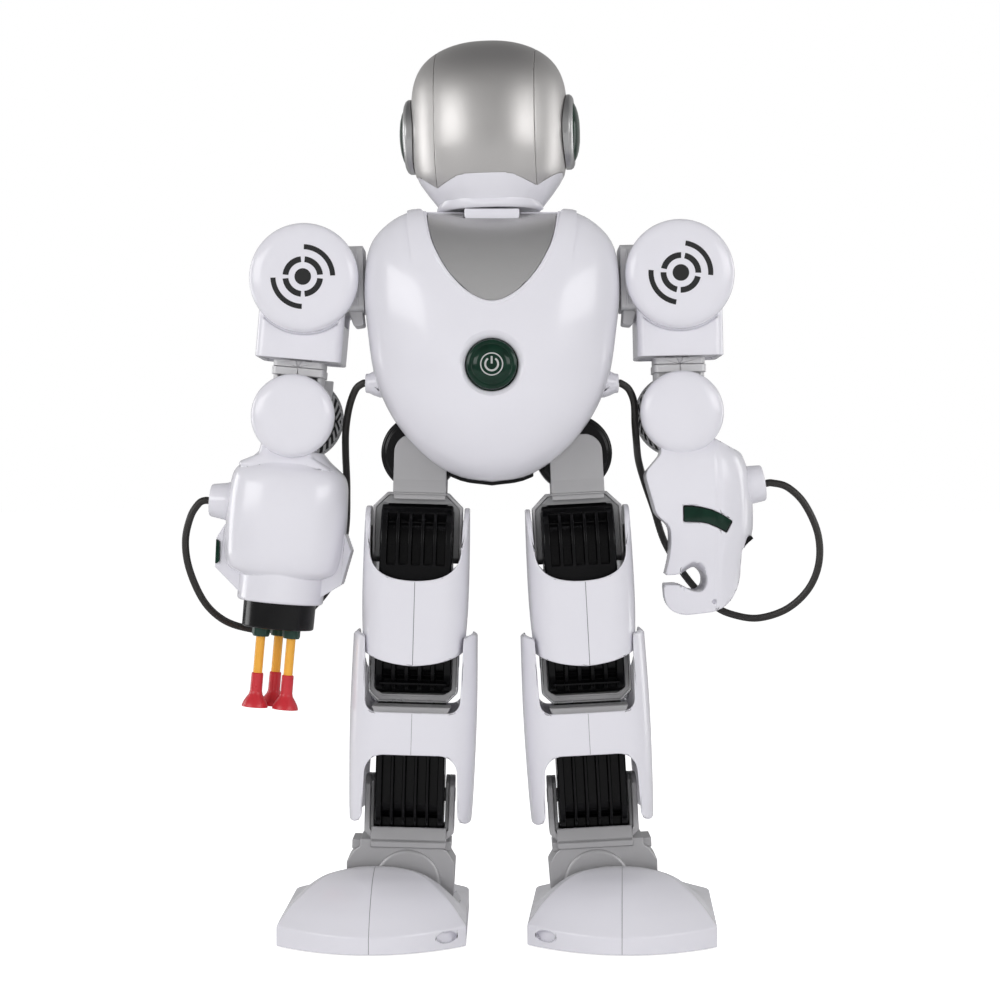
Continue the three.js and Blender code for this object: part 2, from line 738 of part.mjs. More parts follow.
function buildLeg(side, name, hip, lean, footX) {
  const leg = new THREE.Group();
  leg.position.set(hip, 0, hipAxisZ);
  leg.rotation.y = radians(-side * lean);
  robot.add(leg);
  const limb = new THREE.Group(); // heights in it are heights over the floor of an upright leg
  limb.position.z = -hipAxisZ;
  leg.add(limb);

  // Hip bracket: a plate in front of and behind the hip disc, joined to the strap below.
  const barTopZ = hipAxisZ - discRadius - 0.4;
  const cheekY = discHalf + 0.7;
  const cheekLeft = -cheekShift - cheekWidth / 2;
  const cheekRight = cheekLeft + cheekWidth;
  const plate = outline([
    [cheekLeft, barTopZ - 1], [cheekRight, barTopZ - 1],
    [cheekRight, hipAxisZ + cheekRise, 7], [cheekLeft, hipAxisZ + cheekRise, 7],
  ]);
  const bridge = slab(
    cheekLeft, cheekRight, -cheekY - cheekThick, cheekY + cheekThick, barTopZ - hipStrap, barTopZ);
  addPiece(limb, `${name}_hip_bracket`, join(
    extrude('xz', plate, -cheekY - cheekThick, -cheekY),
    extrude('xz', plate, cheekY, cheekY + cheekThick),
    bridge,
    rod('y', stubRadius, -cheekY - 1, -cheekY + stubLength, 0, hipAxisZ, 12),
    rod('y', stubRadius, cheekY - stubLength, cheekY + 1, 0, hipAxisZ, 12),
    strap(1, hipStrap, barTopZ, thighAxisZ - 7.5, thighAxisZ, 6.3),
  ), 'grey');

  // Thigh: ribbed block, two-sided shell with tall wings, and the ribbed knee block below.
  const thighTube = (inset) => loft([
    [109, 20.4], [122, 22], [140, thighHalf], [165, thighHalf], [190, thighHalf - 0.6],
  ].map(([z, half]) => levelRing(
    inset > 0 && z === 109 ? 100 : inset > 0 && z === 190 ? 200 : z,
    half - inset, thighFront + inset, thighBack - inset, 4.2)));
  const seatZ = 131;
  addPiece(limb, `${name}_thigh_block`, join(
    ribbedBlock(thighBlockHalf, thighBarrel, thighAxisZ, seatZ + 12, boreStart(hipStrap)),
    slab(-thighBlockHalf, thighBlockHalf, thighFront, thighBack, seatZ, seatZ + 12.5)
      .intersect(thighTube(wall + gap)),
  ), 'black');
  const front = new THREE.Shape();
  front.moveTo(-30, thighSideZ + 3);
  front.quadraticCurveTo(-20, thighFrontZ + 1, 0, thighFrontZ);
  front.quadraticCurveTo(20, thighFrontZ + 1, 30, thighSideZ + 3);
  front.lineTo(30, 200);
  front.lineTo(wingInner + 1, 200);
  front.lineTo(wingInner, thighCutZ + 12);
  front.quadraticCurveTo(wingInner - 1.2, thighCutZ, 0, thighCutZ);
  front.quadraticCurveTo(-wingInner + 1.2, thighCutZ, -wingInner, thighCutZ + 12);
  front.lineTo(-wingInner - 1, 200);
  front.lineTo(-30, 200);
  front.closePath();
  const thighSide = outline([
    [thighFront - 1, 100], [-8, 100], [4, thighFrontZ + 9, 4], [thighBack + 1, kneeAxisZ + 20.5, 4],
    [thighBack + 1, thighCutZ + 4, 10], [12, thighTopZ, 9], [-13, thighTopZ, 9],
    [thighFront - 1, thighCutZ + 4, 10],
  ]);
  addPiece(limb, `${name}_thigh_shell`, cut(thighTube(0), thighTube(wall))
    .intersect(extrude('xz', front, -40, 40, { curve: 6 }))
    .intersect(extrude('yz', thighSide, -40, 40)), 'white');
  addPiece(limb, `${name}_knee_block`, join(
    ribbedBlock(kneeBlockHalf, kneeBarrel, kneeAxisZ, 121, boreStart(kneeStrap)),
    slab(-12, 12, -14, 14, 120, seatZ - gap),
  ), 'black');

  // Shin: bright knee strap, H-shaped shell, and the ribbed ankle block inside its lower half.
  const kneeBarZ = kneeAxisZ - kneeBarrel - swing - kneeStrap;
  addPiece(limb, `${name}_knee_strap`, strap(
    -1, kneeStrap, kneeBarZ, kneeAxisZ + 6.5, kneeAxisZ, 4.4), 'bright');
  const shinTube = (inset) => loft([
    [42, 26.6], [60, 27.8], [95, shinHalf], [133, 27.4],
  ].map(([z, half]) => levelRing(
    inset > 0 && z === 42 ? 35 : inset > 0 && z === 133 ? 140 : z,
    half - inset, shinFront + inset, shinBack - inset, 4.2)));
  const shinShape = outline([
    [-40, shinBottomZ - 1], [-wingInner - 1, shinBottomZ - 1, 4], [-wingInner, webBottomZ, 7.7],
    [wingInner, webBottomZ, 7.7], [wingInner + 1, shinBottomZ - 1, 4], [40, shinBottomZ - 1],
    [40, shinTopZ], [thighHalf + 1.6, shinTopZ], [thighHalf + 1.6, thighFrontZ - 3, 2],
    [wingInner, thighFrontZ - 6, 2], [wingInner, webTopZ, 4.7], [-wingInner, webTopZ, 4.7],
    [-wingInner, thighFrontZ - 6, 2], [-thighHalf - 1.6, thighFrontZ - 3, 2],
    [-thighHalf - 1.6, shinTopZ], [-40, shinTopZ],
  ]);
  const shinSide = outline([
    [shinFront - 1, shinBottomZ - 1, 9], [shinBack + 1, shinBottomZ - 1, 9],
    [shinBack + 1, shinRearZ, 12], [10, shinTopZ, 9], [-14, shinTopZ, 9], [shinFront - 1, 108, 10],
  ]);
  addPiece(limb, `${name}_shin_shell`, cut(shinTube(0), shinTube(wall))
    .intersect(extrude('xz', shinShape, -40, 40))
    .intersect(extrude('yz', shinSide, -40, 40)), 'white');
  const ankleSeatZ = kneeBarZ - gap;
  addPiece(limb, `${name}_ankle_block`, join(
    ribbedBlock(ankleBlockHalf, ankleBarrel, ankleAxisZ, 79, boreStart(ankleStrap)),
    slab(-ankleBlockHalf, ankleBlockHalf, -11, 11, 78, ankleSeatZ),
    slab(-ankleBlockHalf, ankleBlockHalf, shinFront, shinBack, 80, 90)
      .intersect(shinTube(wall + gap)),
  ), 'black');

  // Ankle bracket: a strap, a flared plate and the round end that turns in the foot.
  const ankleBarZ = ankleAxisZ - ankleBarrel - swing - ankleStrap;
  const out = side * flareShift;
  const flare = outline([
    [out - flareTop, ankleBarZ + 1.4], [out - flareTop, ankleBarZ - 1.4],
    [out - flareBottom, flareLowZ + 4], [out - flareBottom, flareLowZ],
    [out + flareBottom, flareLowZ], [out + flareBottom, flareLowZ + 4],
    [out + flareTop, ankleBarZ - 1.4], [out + flareTop, ankleBarZ + 1.4],
  ]);
  addPiece(limb, `${name}_ankle_bracket`, join(
    strap(-1, ankleStrap, ankleBarZ, ankleAxisZ + 8.5, ankleAxisZ, 4.4),
    extrude('xz', flare, -footBracketHalf, footBracketHalf),
    rod('y', footDisc, -footBracketHalf, footBracketHalf, 0, footAxisZ, 22),
    rod('y', stubRadius, -footBracketHalf - stubLength, -footBracketHalf + 1, 0, footAxisZ, 12),
    rod('y', stubRadius, footBracketHalf - 1, footBracketHalf + stubLength, 0, footAxisZ, 12),
  ), 'grey');

  // Foot: it stays level, so it hangs on the robot itself, below the leaning leg's axis.
  const legLength = hipAxisZ - footAxisZ;
  const foot = new THREE.Group();
  foot.position.x = hip + side * legLength * Math.sin(radians(lean));
  robot.add(foot);
  const pinZ = hipAxisZ - legLength * Math.cos(radians(lean));
  const middle = footX - foot.position.x;
  const well = slab(out - flareBottom - 3.4, out + flareBottom + 3.4, -17.2, 17.2, wellFloor, 60);
  const dome = cut(footDome(0), footDome(wall)).translate([middle, 0, 0]);
  addPiece(foot, `${name}_foot_shell`, cut(dome, well), 'white');
  const lugFrom = footBracketHalf + 0.5;
  const lugs = [-1, 1].map((end) => {
    const shape = outline([[-8, 1], [8, 1], [6, pinZ + 5.5, 4], [-6, pinZ + 5.5, 4]]);
    return extrude(
      'xz', shape, end < 0 ? -lugFrom - footLug : lugFrom, end < 0 ? -lugFrom : lugFrom + footLug);
  });
  const sole = loft([footRing(1, 0, wall + gap), footRing(1, soleThick, wall + gap)])
    .translate([middle, 0, 0]);
  addPiece(foot, `${name}_sole_plate`, cut(
    join(sole, ...lugs),
    rod('y', stubRadius + gap, -30, 30, 0, pinZ, 12)), 'grey');
}

buildLeg(-1, 'left', leftHipX, leftLegLean, leftFootX);
buildLeg(1, 'right', rightHipX, rightLegLean, rightFootX);

// ---------------------------------------------------------------- arms

function buildShoulder(side, name, hang) {
  // Shoulder bracket: an axle into the torso, a block beside it and the hub under the cap.
  const shoulder = new THREE.Group(); // it turns about the bearing
  shoulder.position.set(side * bearingX, 0, shoulderZ);
  shoulder.rotation.y = radians(-shoulderShrug);
  robot.add(shoulder);
  const inner = side * (bracketInner - bearingX);
  const hubX = side * (shoulderX - bearingX);
  const along = (from, to) => [Math.min(from, to), Math.max(from, to)];
  const [blockFrom, blockTo] = along(inner, inner + side * 10);
  const block = extrude('yz', outline([
    [-bracketHalfY, -bracketHalfZ, 2.5], [bracketHalfY, -bracketHalfZ, 2.5],
    [bracketHalfY, bracketHalfZ, 2.5], [-bracketHalfY, bracketHalfZ, 2.5],
  ]), blockFrom, blockTo, { curve: 2 });
  const [neckFrom, neckTo] = along(inner + side * 9, hubX);
  const neck = slab(
    neckFrom, neckTo, -bracketHalfY, bracketHalfY, -hubRadius + 4, hubRadius);
  const [axleFrom, axleTo] = along(side * (45 - bearingX), inner + side);
  addPiece(shoulder, `${name}_shoulder_bracket`, join(
    block, neck,
    rod('x', axleRadius, axleFrom, axleTo, 0, 0, 16),
    rod('y', hubRadius, -bracketHalfY, bracketHalfY, hubX, 0, 20),
  ), 'grey');

  const arm = new THREE.Group();
  arm.position.x = hubX;
  arm.rotation.y = radians(shoulderShrug - side * hang);
  shoulder.add(arm);
  const cheekFrom = bracketHalfY + gap;
  const cheekTo = cheekFrom + cheek;
  addPiece(arm, `${name}_shoulder_cap`, turnedForward([
    [0, 0], [capRadius, 0], [capRadius, capDepth - 3.2], [capRadius - 1.2, capDepth - 1.2],
    [capRadius - 3.8, capDepth - 0.3], [12, capDepth], [0, capDepth],
  ], 0, -cheekTo - gap, 0, 24), 'white');
  const sleeve = extrude('xy', outline([
    [-sleeveHalf, -cheekTo - 1, 4], [sleeveHalf, -cheekTo - 1, 4],
    [sleeveHalf, cheekTo + 4, 4], [-sleeveHalf, cheekTo + 4, 4],
  ]), sleeveBottom, sleeveTop, { curve: 3 });
  addPiece(arm, `${name}_upper_arm`, cut(
    join(
      sleeve,
      rod('y', capRadius - 2, -cheekTo, -cheekFrom, 0, 0, 22),
      rod('y', capRadius - 0.4, cheekFrom, cheekTo + 4, 0, 0, 22),
    ),
    slab(-30, 30, -cheekTo - 3, -cheekTo, sleeveTop - 7, 0),
    rod('z', swivelAxle + gap, sleeveBottom - 1, sleeveBottom + 9, 0, 0, 16),
  ), 'white');

  // Swivel under the sleeve: a ribbed collar on an axle, carrying the elbow hub.
  const collarTop = sleeveBottom - gap;
  addPiece(arm, `${name}_arm_swivel`, join(
    rod('z', swivelAxle, collarTop - 1, sleeveBottom + 8, 0, 0, 16),
    rod('z', swivelRadius, swivelBottom, collarTop, 0, 0, 20),
    slab(-9, 9, -elbowHubHalf, elbowHubHalf, -elbowDrop, swivelBottom + 0.5),
    rod('y', elbowHub, -elbowHubHalf, elbowHubHalf, 0, -elbowDrop, 20),
  ), 'grey');

  const forearm = new THREE.Group();
  forearm.position.z = -elbowDrop;
  arm.add(forearm);
  const plateFrom = elbowHubHalf + gap;
  const plateTo = plateFrom + cheek;
  addPiece(forearm, `${name}_elbow_cap`, turnedForward([
    [0, 0], [elbowCap, 0], [elbowCap, elbowCapDepth - 4], [elbowCap - 1.6, elbowCapDepth - 1.8],
    [elbowCap - 5, elbowCapDepth - 0.4], [0, elbowCapDepth],
  ], 0, -plateTo - gap, 0, 22), 'white');
  addPiece(forearm, `${name}_elbow_disc`, rod(
    'y', elbowDisc, plateTo + gap, plateTo + gap + elbowDiscDepth, 0, 0, 22), 'black');
  const cheeks = join(
    rod('y', elbowCheek, -plateTo, -plateFrom, 0, 0, 20),
    rod('y', elbowCheek, plateFrom, plateTo, 0, 0, 20));
  const discSpace = join(
    rod('y', elbowCap + gap, -plateTo - 20, -plateTo, 0, 0, 22),
    rod('y', elbowDisc + gap, plateTo, plateTo + 20, 0, 0, 22));
  return { forearm, cheeks, discSpace };
}

// A tapered gland on the outer side of a forearm, bored for the hose's end.
function hoseGland(side, radius, end, drop, root) {
  const from = Math.min(side * root, side * end);
  const to = Math.max(side * root, side * end);
  const [low, high] = side < 0 ? [radius, radius + glandFlare] : [radius + glandFlare, radius];
  return cone('x', low, high, from, to, 0, drop, 16);
}

// Dart launcher: a barrel-shaped shell, a black muzzle, three barrels and three darts.
const launcher = buildShoulder(-1, 'left', leftArmHang);
const launcherLevels = [
  [-14.6, 12.6, 12], [-17, 15.6, 13.6], [-20, 18, 15.4], [-23.4, 22.4, 18.6], [-28, 25, 21],
  [-40, launcherHalf, 22.4], [-55, launcherHalf, 22.4], [-64, 24.4, 21], [launcherCollarTop, 21.2, 19.4],
];
const launcherForm = (inset) => loft(
  (inset > 0 ? coarser(launcherLevels) : launcherLevels).map(([z, half, halfY], i) => levelRing(
    inset > 0 && i === 0 ? z - inset : z, half - inset, -halfY + inset, halfY - inset, 2.7)));
const skirt = extrude('xz', outline([
  [-26, -50], [-29.6, -57], [-29.2, -69.7], [-20, -76.4],
  [20, -76.4], [28.4, -64.5], [29.6, -57], [26, -50],
]), -5, 13);
const launcherSpace = join(
  launcherForm(wall),
  rod('z', muzzleRadius + gap, launcherCollarEnd - 1, launcherCollarTop + 2, 0, 0, 20));
addPiece(launcher.forearm, 'left_forearm_shell', cut(
  join(
    launcherForm(0), launcher.cheeks, skirt,
    rod('z', collarRadius, launcherCollarEnd, launcherCollarTop + 1, 0, 0, 20)),
  launcher.discSpace, launcherSpace,
  rod('x', 4 + gap, -40, -20, 0, launcherGlandDrop, 12),
), 'white');
addPiece(launcher.forearm, 'left_forearm_gland', join(
  cut(
    hoseGland(-1, launcherGlandRadius, launcherGlandEnd, launcherGlandDrop, launcherHalf - 4),
    launcherForm(-gap)),
  rod('x', 4, -launcherHalf - 2, -launcherHalf + 4, 0, launcherGlandDrop, 12)), 'white');
const barrelPlaces = [0, 1, 2].map((i) => {
  const angle = radians(90 + 120 * i);
  return [barrelPitch * Math.cos(angle), barrelPitch * Math.sin(angle)];
});
addPiece(launcher.forearm, 'launcher_muzzle', cut(
  rod('z', muzzleRadius, muzzleEnd, muzzleTop, 0, 0, 20),
  ...barrelPlaces.map(([x, y]) => rod('z', barrelRadius + gap, -100, -60, x, y, 12))), 'black');
const breechTop = muzzleTop + gap + 2.4;
addPiece(launcher.forearm, 'launcher_barrels', cut(
  join(
    rod('z', muzzleRadius - 1, muzzleTop + gap, breechTop, 0, 0, 18),
    ...barrelPlaces.map(([x, y]) => rod('z', barrelRadius, barrelEnd, muzzleTop + 1, x, y, 12))),
  ...barrelPlaces.map(([x, y]) => rod(
    'z', dartRadius + gap, barrelEnd - 1, muzzleTop - 0.5, x, y, 10))), 'green');
barrelPlaces.forEach(([x, y], index) => {
  addPiece(launcher.forearm, `dart_${index + 1}`, turned([
    [0, dartEnd + 1.6], [3.6, dartEnd], [dartCup, dartEnd], [4.9, dartEnd + 2.4],
    [dartSleeve, dartCupTop + 1], [dartSleeve, dartSleeveTop], [dartRadius, dartSleeveTop],
    [dartRadius, dartTop], [0, dartTop],
  ], 10).translate([x, y, 0]), 'orange');
});

// Claw hand: a bevelled forearm, a window on its front and two blunt jaws.
const claw = buildShoulder(1, 'right', rightArmHang);
const clawBody = extrude('xz', outline([
  [-9.5, -15.5], [-16.2, -26.6], [-11.8, -43.6], [-5.4, -50], [-4.6, -58],
  [24.6, -58], [26.6, -47], [28.4, -25], [26, -17.4], [15.4, -13.2],
]), -clawBodyHalf, clawBodyHalf, { bevel: 4 });
const clawHand = extrude('xz', outline([
  [-5.4, -46], [-5.4, -60, 4], [-8.2, -71.8, 2.6], [-2, -71.6, 2], [4.4, -69, 2.4],
  [9.4, -71.4, 2.4], [9.4, -77.4, 2.2], [5.6, -78.8, 1.6], [-0.6, -75.4, 2],
  [-8.8, -75.8, 2.6], [-7.4, -86, 3.4], [-1.6, -89.6, 3], [16.4, -87.4, 5], [25.6, -77.6, 7],
  [26.4, -58, 4], [24, -46],
]), -clawHandHalf, clawHandHalf, { curve: 4 });
const window = (margin) => outline([
  [0.2 - margin, -41.4 + margin], [12, -42.6 + margin], [22.3 + margin, -47.2 + margin],
  [19.2 + margin, -53.2 - margin], [10.4, -49 - margin], [0.2 - margin, -48 - margin],
]);
addPiece(claw.forearm, 'right_forearm_shell', cut(
  join(
    clawBody, clawHand, claw.cheeks,
    slab(20, 31.2, -9, 9, -54.4, -40.5)),
  claw.discSpace,
  rod('y', elbowHub + swing, -elbowHubHalf - gap, elbowHubHalf + gap, 0, 0, 20),
  extrude('xz', window(gap), -clawBodyHalf - 1, -clawBodyHalf + 1.2 + gap),
  rod('x', 4 + gap, 20, 40, 0, clawGlandDrop, 12),
), 'white');
addPiece(claw.forearm, 'claw_window', extrude(
  'xz', window(0), -clawBodyHalf - 0.1, -clawBodyHalf + 1.2), 'green');
const clawGlandRoot = 28.7;
addPiece(claw.forearm, 'right_forearm_gland', join(
  hoseGland(1, clawGlandRadius, clawGlandEnd, clawGlandDrop, clawGlandRoot),
  rod('x', 4, 22, clawGlandRoot + 1, 0, clawGlandDrop, 12)), 'white');

// ---------------------------------------------------------------- hoses

// Each hose leaves a gland on the torso, passes behind its forearm and loops back to the
// gland on the forearm's outer side. The first points are measured from the torso's gland,
// the last ones from the forearm's.
function addHose(name, side, limb, glandPlace, leave, arrive) {
  robot.updateMatrixWorld(true);
  const start = new THREE.Vector3(side * (glandEnd + gap), glandY, glandZ);
  const [end, drop] = glandPlace;
  const finish = robot.worldToLocal(
    limb.forearm.localToWorld(new THREE.Vector3(side * (end + gap), 0, drop)));
  const along = ([out, back, rise]) => new THREE.Vector3(side * out, back, rise);
  const path = new THREE.CatmullRomCurve3([
    start, ...leave.map((step) => along(step).add(start)),
    ...arrive.map((step) => along(step).add(finish)), finish,
  ], false, 'centripetal');
  const section = new THREE.Shape();
  section.absarc(0, 0, hoseRadius, 0, 2 * Math.PI, false);
  const geometry = new THREE.ExtrudeGeometry(section, {
    steps: 30,
    curveSegments: 4,
    extrudePath: path,
    bevelEnabled: false,
  });
  addPiece(robot, name, solidOf(geometry), 'rubber');
  return path.getLength();
}

export const hoseLengths = [
  addHose('left_hose', -1, launcher, [launcherGlandEnd, launcherGlandDrop], [
    [0.9, 0, -0.1], [4.1, 1, -2.6], [7.1, 4, -10], [9.1, 10, -20], [9.7, 17, -30.4],
    [9.7, 25, -47], [11.1, 32, -67], [17.5, 35.4, -89],
  ], [
    [-36.8, 29.6, -53], [-22.8, 27, -58.2], [-12.2, 21, -57], [-3, 14, -52.6], [4.4, 8, -44],
    [9.8, 3, -30], [11.2, 1, -17.5], [8.8, 0, -7], [5.2, 0, -1.2], [2.4, 0, 0.2],
  ]),
  addHose('right_hose', 1, claw, [clawGlandEnd, clawGlandDrop], [
    [0.9, 0, -0.1], [4.3, 0.6, -2.6], [6.7, 2, -8.4], [7.3, 5, -17.4], [8.3, 11, -25],
    [9.9, 22, -33], [12.9, 29.6, -42], [17.5, 31.6, -55], [22.9, 31.6, -71],
  ], [
    [-31.7, 22.6, -43.7], [-20.4, 18.6, -54.9], [-11.4, 15, -58.9], [-1.4, 10, -59.7],
    [10.2, 5, -55.3], [19.2, 2, -46.3], [23.4, 0, -34.7], [22.8, 0, -21.7], [17, 0, -8.9],
    [9.6, 0, -1.7], [2.8, 0, 0.2],
  ]),
];

export default robot;
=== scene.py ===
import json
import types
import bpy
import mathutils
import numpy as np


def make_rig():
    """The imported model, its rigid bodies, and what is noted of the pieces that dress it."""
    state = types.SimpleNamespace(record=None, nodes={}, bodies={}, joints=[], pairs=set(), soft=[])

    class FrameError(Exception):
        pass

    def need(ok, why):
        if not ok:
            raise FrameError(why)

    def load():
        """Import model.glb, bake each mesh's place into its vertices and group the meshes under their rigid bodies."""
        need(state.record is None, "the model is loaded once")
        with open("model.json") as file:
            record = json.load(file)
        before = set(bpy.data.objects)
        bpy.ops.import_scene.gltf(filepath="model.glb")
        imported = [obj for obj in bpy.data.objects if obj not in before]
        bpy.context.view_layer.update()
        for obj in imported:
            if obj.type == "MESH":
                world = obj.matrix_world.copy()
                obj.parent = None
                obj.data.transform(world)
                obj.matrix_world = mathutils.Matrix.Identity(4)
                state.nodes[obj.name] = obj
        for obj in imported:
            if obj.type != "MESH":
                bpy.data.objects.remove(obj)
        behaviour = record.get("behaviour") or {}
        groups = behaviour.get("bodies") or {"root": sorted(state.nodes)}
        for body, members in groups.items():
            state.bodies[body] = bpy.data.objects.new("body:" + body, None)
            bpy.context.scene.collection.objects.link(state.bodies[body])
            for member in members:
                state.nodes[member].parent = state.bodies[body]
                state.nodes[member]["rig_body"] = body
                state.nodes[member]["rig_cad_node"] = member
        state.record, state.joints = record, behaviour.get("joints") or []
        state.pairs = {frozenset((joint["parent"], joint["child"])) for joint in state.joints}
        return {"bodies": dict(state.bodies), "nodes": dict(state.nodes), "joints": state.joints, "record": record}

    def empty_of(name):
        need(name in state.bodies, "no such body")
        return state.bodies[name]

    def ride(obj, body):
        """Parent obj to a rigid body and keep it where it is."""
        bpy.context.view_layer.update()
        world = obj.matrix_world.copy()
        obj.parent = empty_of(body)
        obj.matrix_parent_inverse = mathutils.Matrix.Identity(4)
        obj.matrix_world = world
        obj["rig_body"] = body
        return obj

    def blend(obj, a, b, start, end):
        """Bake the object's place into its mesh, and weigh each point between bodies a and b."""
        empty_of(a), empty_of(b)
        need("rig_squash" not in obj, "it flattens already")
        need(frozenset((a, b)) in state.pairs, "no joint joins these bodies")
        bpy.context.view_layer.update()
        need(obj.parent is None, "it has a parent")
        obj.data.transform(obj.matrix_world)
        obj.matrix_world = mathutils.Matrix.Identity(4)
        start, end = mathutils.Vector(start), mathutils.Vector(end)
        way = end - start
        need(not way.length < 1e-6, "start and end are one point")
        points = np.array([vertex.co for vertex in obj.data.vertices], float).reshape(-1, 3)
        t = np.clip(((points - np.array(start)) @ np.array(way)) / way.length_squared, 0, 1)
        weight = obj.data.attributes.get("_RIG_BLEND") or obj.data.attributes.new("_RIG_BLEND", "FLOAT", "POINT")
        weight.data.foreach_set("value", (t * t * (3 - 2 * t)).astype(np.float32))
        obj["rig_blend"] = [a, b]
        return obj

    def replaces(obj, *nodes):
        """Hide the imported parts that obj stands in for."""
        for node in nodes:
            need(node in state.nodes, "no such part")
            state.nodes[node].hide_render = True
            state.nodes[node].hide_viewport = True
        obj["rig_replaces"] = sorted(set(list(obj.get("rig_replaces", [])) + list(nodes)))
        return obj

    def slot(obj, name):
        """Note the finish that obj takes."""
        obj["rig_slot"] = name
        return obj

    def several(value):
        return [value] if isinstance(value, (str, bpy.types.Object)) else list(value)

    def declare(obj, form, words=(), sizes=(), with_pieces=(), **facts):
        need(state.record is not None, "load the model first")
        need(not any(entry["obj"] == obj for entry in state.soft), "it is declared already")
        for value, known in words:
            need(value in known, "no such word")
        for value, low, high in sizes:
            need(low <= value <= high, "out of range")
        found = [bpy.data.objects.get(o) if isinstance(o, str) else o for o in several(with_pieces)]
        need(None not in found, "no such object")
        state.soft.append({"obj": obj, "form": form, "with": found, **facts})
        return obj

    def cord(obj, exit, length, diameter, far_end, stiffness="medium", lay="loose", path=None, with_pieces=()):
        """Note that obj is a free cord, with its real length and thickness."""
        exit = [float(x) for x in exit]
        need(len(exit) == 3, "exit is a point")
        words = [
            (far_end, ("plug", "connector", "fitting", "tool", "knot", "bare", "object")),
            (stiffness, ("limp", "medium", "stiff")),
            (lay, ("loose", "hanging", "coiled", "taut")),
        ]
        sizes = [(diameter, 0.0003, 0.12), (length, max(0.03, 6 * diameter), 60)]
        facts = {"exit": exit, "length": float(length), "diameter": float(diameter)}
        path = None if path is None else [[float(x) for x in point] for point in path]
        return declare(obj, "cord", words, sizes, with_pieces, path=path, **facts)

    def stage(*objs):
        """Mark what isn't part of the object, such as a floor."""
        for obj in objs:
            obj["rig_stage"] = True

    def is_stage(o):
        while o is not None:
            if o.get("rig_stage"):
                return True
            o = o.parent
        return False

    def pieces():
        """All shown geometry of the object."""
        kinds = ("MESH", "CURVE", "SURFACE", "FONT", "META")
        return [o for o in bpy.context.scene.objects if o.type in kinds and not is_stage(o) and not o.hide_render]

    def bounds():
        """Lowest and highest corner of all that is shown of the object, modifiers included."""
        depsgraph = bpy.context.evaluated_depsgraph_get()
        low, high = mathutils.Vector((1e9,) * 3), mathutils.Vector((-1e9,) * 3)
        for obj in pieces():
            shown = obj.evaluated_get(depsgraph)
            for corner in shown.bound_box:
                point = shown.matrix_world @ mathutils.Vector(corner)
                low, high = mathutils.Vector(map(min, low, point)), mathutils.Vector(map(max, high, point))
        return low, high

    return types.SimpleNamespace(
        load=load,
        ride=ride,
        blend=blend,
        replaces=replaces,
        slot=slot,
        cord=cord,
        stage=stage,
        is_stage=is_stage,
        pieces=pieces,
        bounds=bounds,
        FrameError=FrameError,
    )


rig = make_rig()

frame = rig.load()

import json
import math

import bmesh
import bpy
from mathutils import Matrix, Vector
from mathutils.bvhtree import BVHTree

cad_low, cad_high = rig.bounds()
scene = bpy.context.scene
scene.view_settings.view_transform = "Standard"

# ------------------------------------------------------------------ camera, floor and light
# A level camera in front of the robot at waist height. Two wide soft boxes stand at its sides
# and two tall ones beside the robot, one hangs above and one lies low in front. A pale floor
# runs to a white background.
camera_data = bpy.data.cameras.new("camera")
camera_data.lens = 75.3
camera_data.sensor_width = 36
camera = bpy.data.objects.new("camera", camera_data)
camera.location = (0.0035, -0.911, 0.186)
camera.rotation_euler = (math.radians(90), 0, 0)
scene.collection.objects.link(camera)
scene.camera = camera


def soft_box(name, place, aim, width, height, watts, shows=True):
    """A rectangular studio light that faces the point it is aimed at."""
    data = bpy.data.lights.new(name, "AREA")
    data.shape = "RECTANGLE"
    data.size = width
    data.size_y = height
    data.energy = watts
    light = bpy.data.objects.new(name, data)
    light.location = place
    light.rotation_euler = (Vector(aim) - Vector(place)).to_track_quat("-Z", "Y").to_euler()
    light.visible_glossy = shows
    scene.collection.objects.link(light)


soft_box("left_box", (-0.86, -0.78, 0.52), (0, 0, 0.26), 0.8, 0.4, 3.5)
soft_box("right_box", (0.86, -0.78, 0.52), (0, 0, 0.26), 0.8, 0.4, 3.1)
soft_box("top_box", (0, -0.1, 1.4), (0, 0, 0.2), 1.3, 0.9, 2.6, shows=False)
soft_box("low_box", (0, -1.5, 0.2), (0, 0, 0.02), 1.6, 0.3, 4.6, shows=False)
soft_box("left_fill", (-1.2, 0.45, 0.3), (0, 0, 0.3), 0.5, 0.9, 4)
soft_box("right_fill", (1.2, 0.45, 0.3), (0, 0, 0.3), 0.5, 0.9, 3)


def wire(tree, *pairs):
    """Joins sockets of a node tree, two by two."""
    for start, end in pairs:
        tree.links.new(start, end)


def add_node(tree, kind, inputs=None, **settings):
    """Adds a shader node to a tree, with its settings and the values of its inputs."""
    made = tree.nodes.new(f"ShaderNode{kind}")
    for setting, value in settings.items():
        setattr(made, setting, value)
    for socket, value in (inputs or {}).items():
        made.inputs[socket].default_value = value
    return made


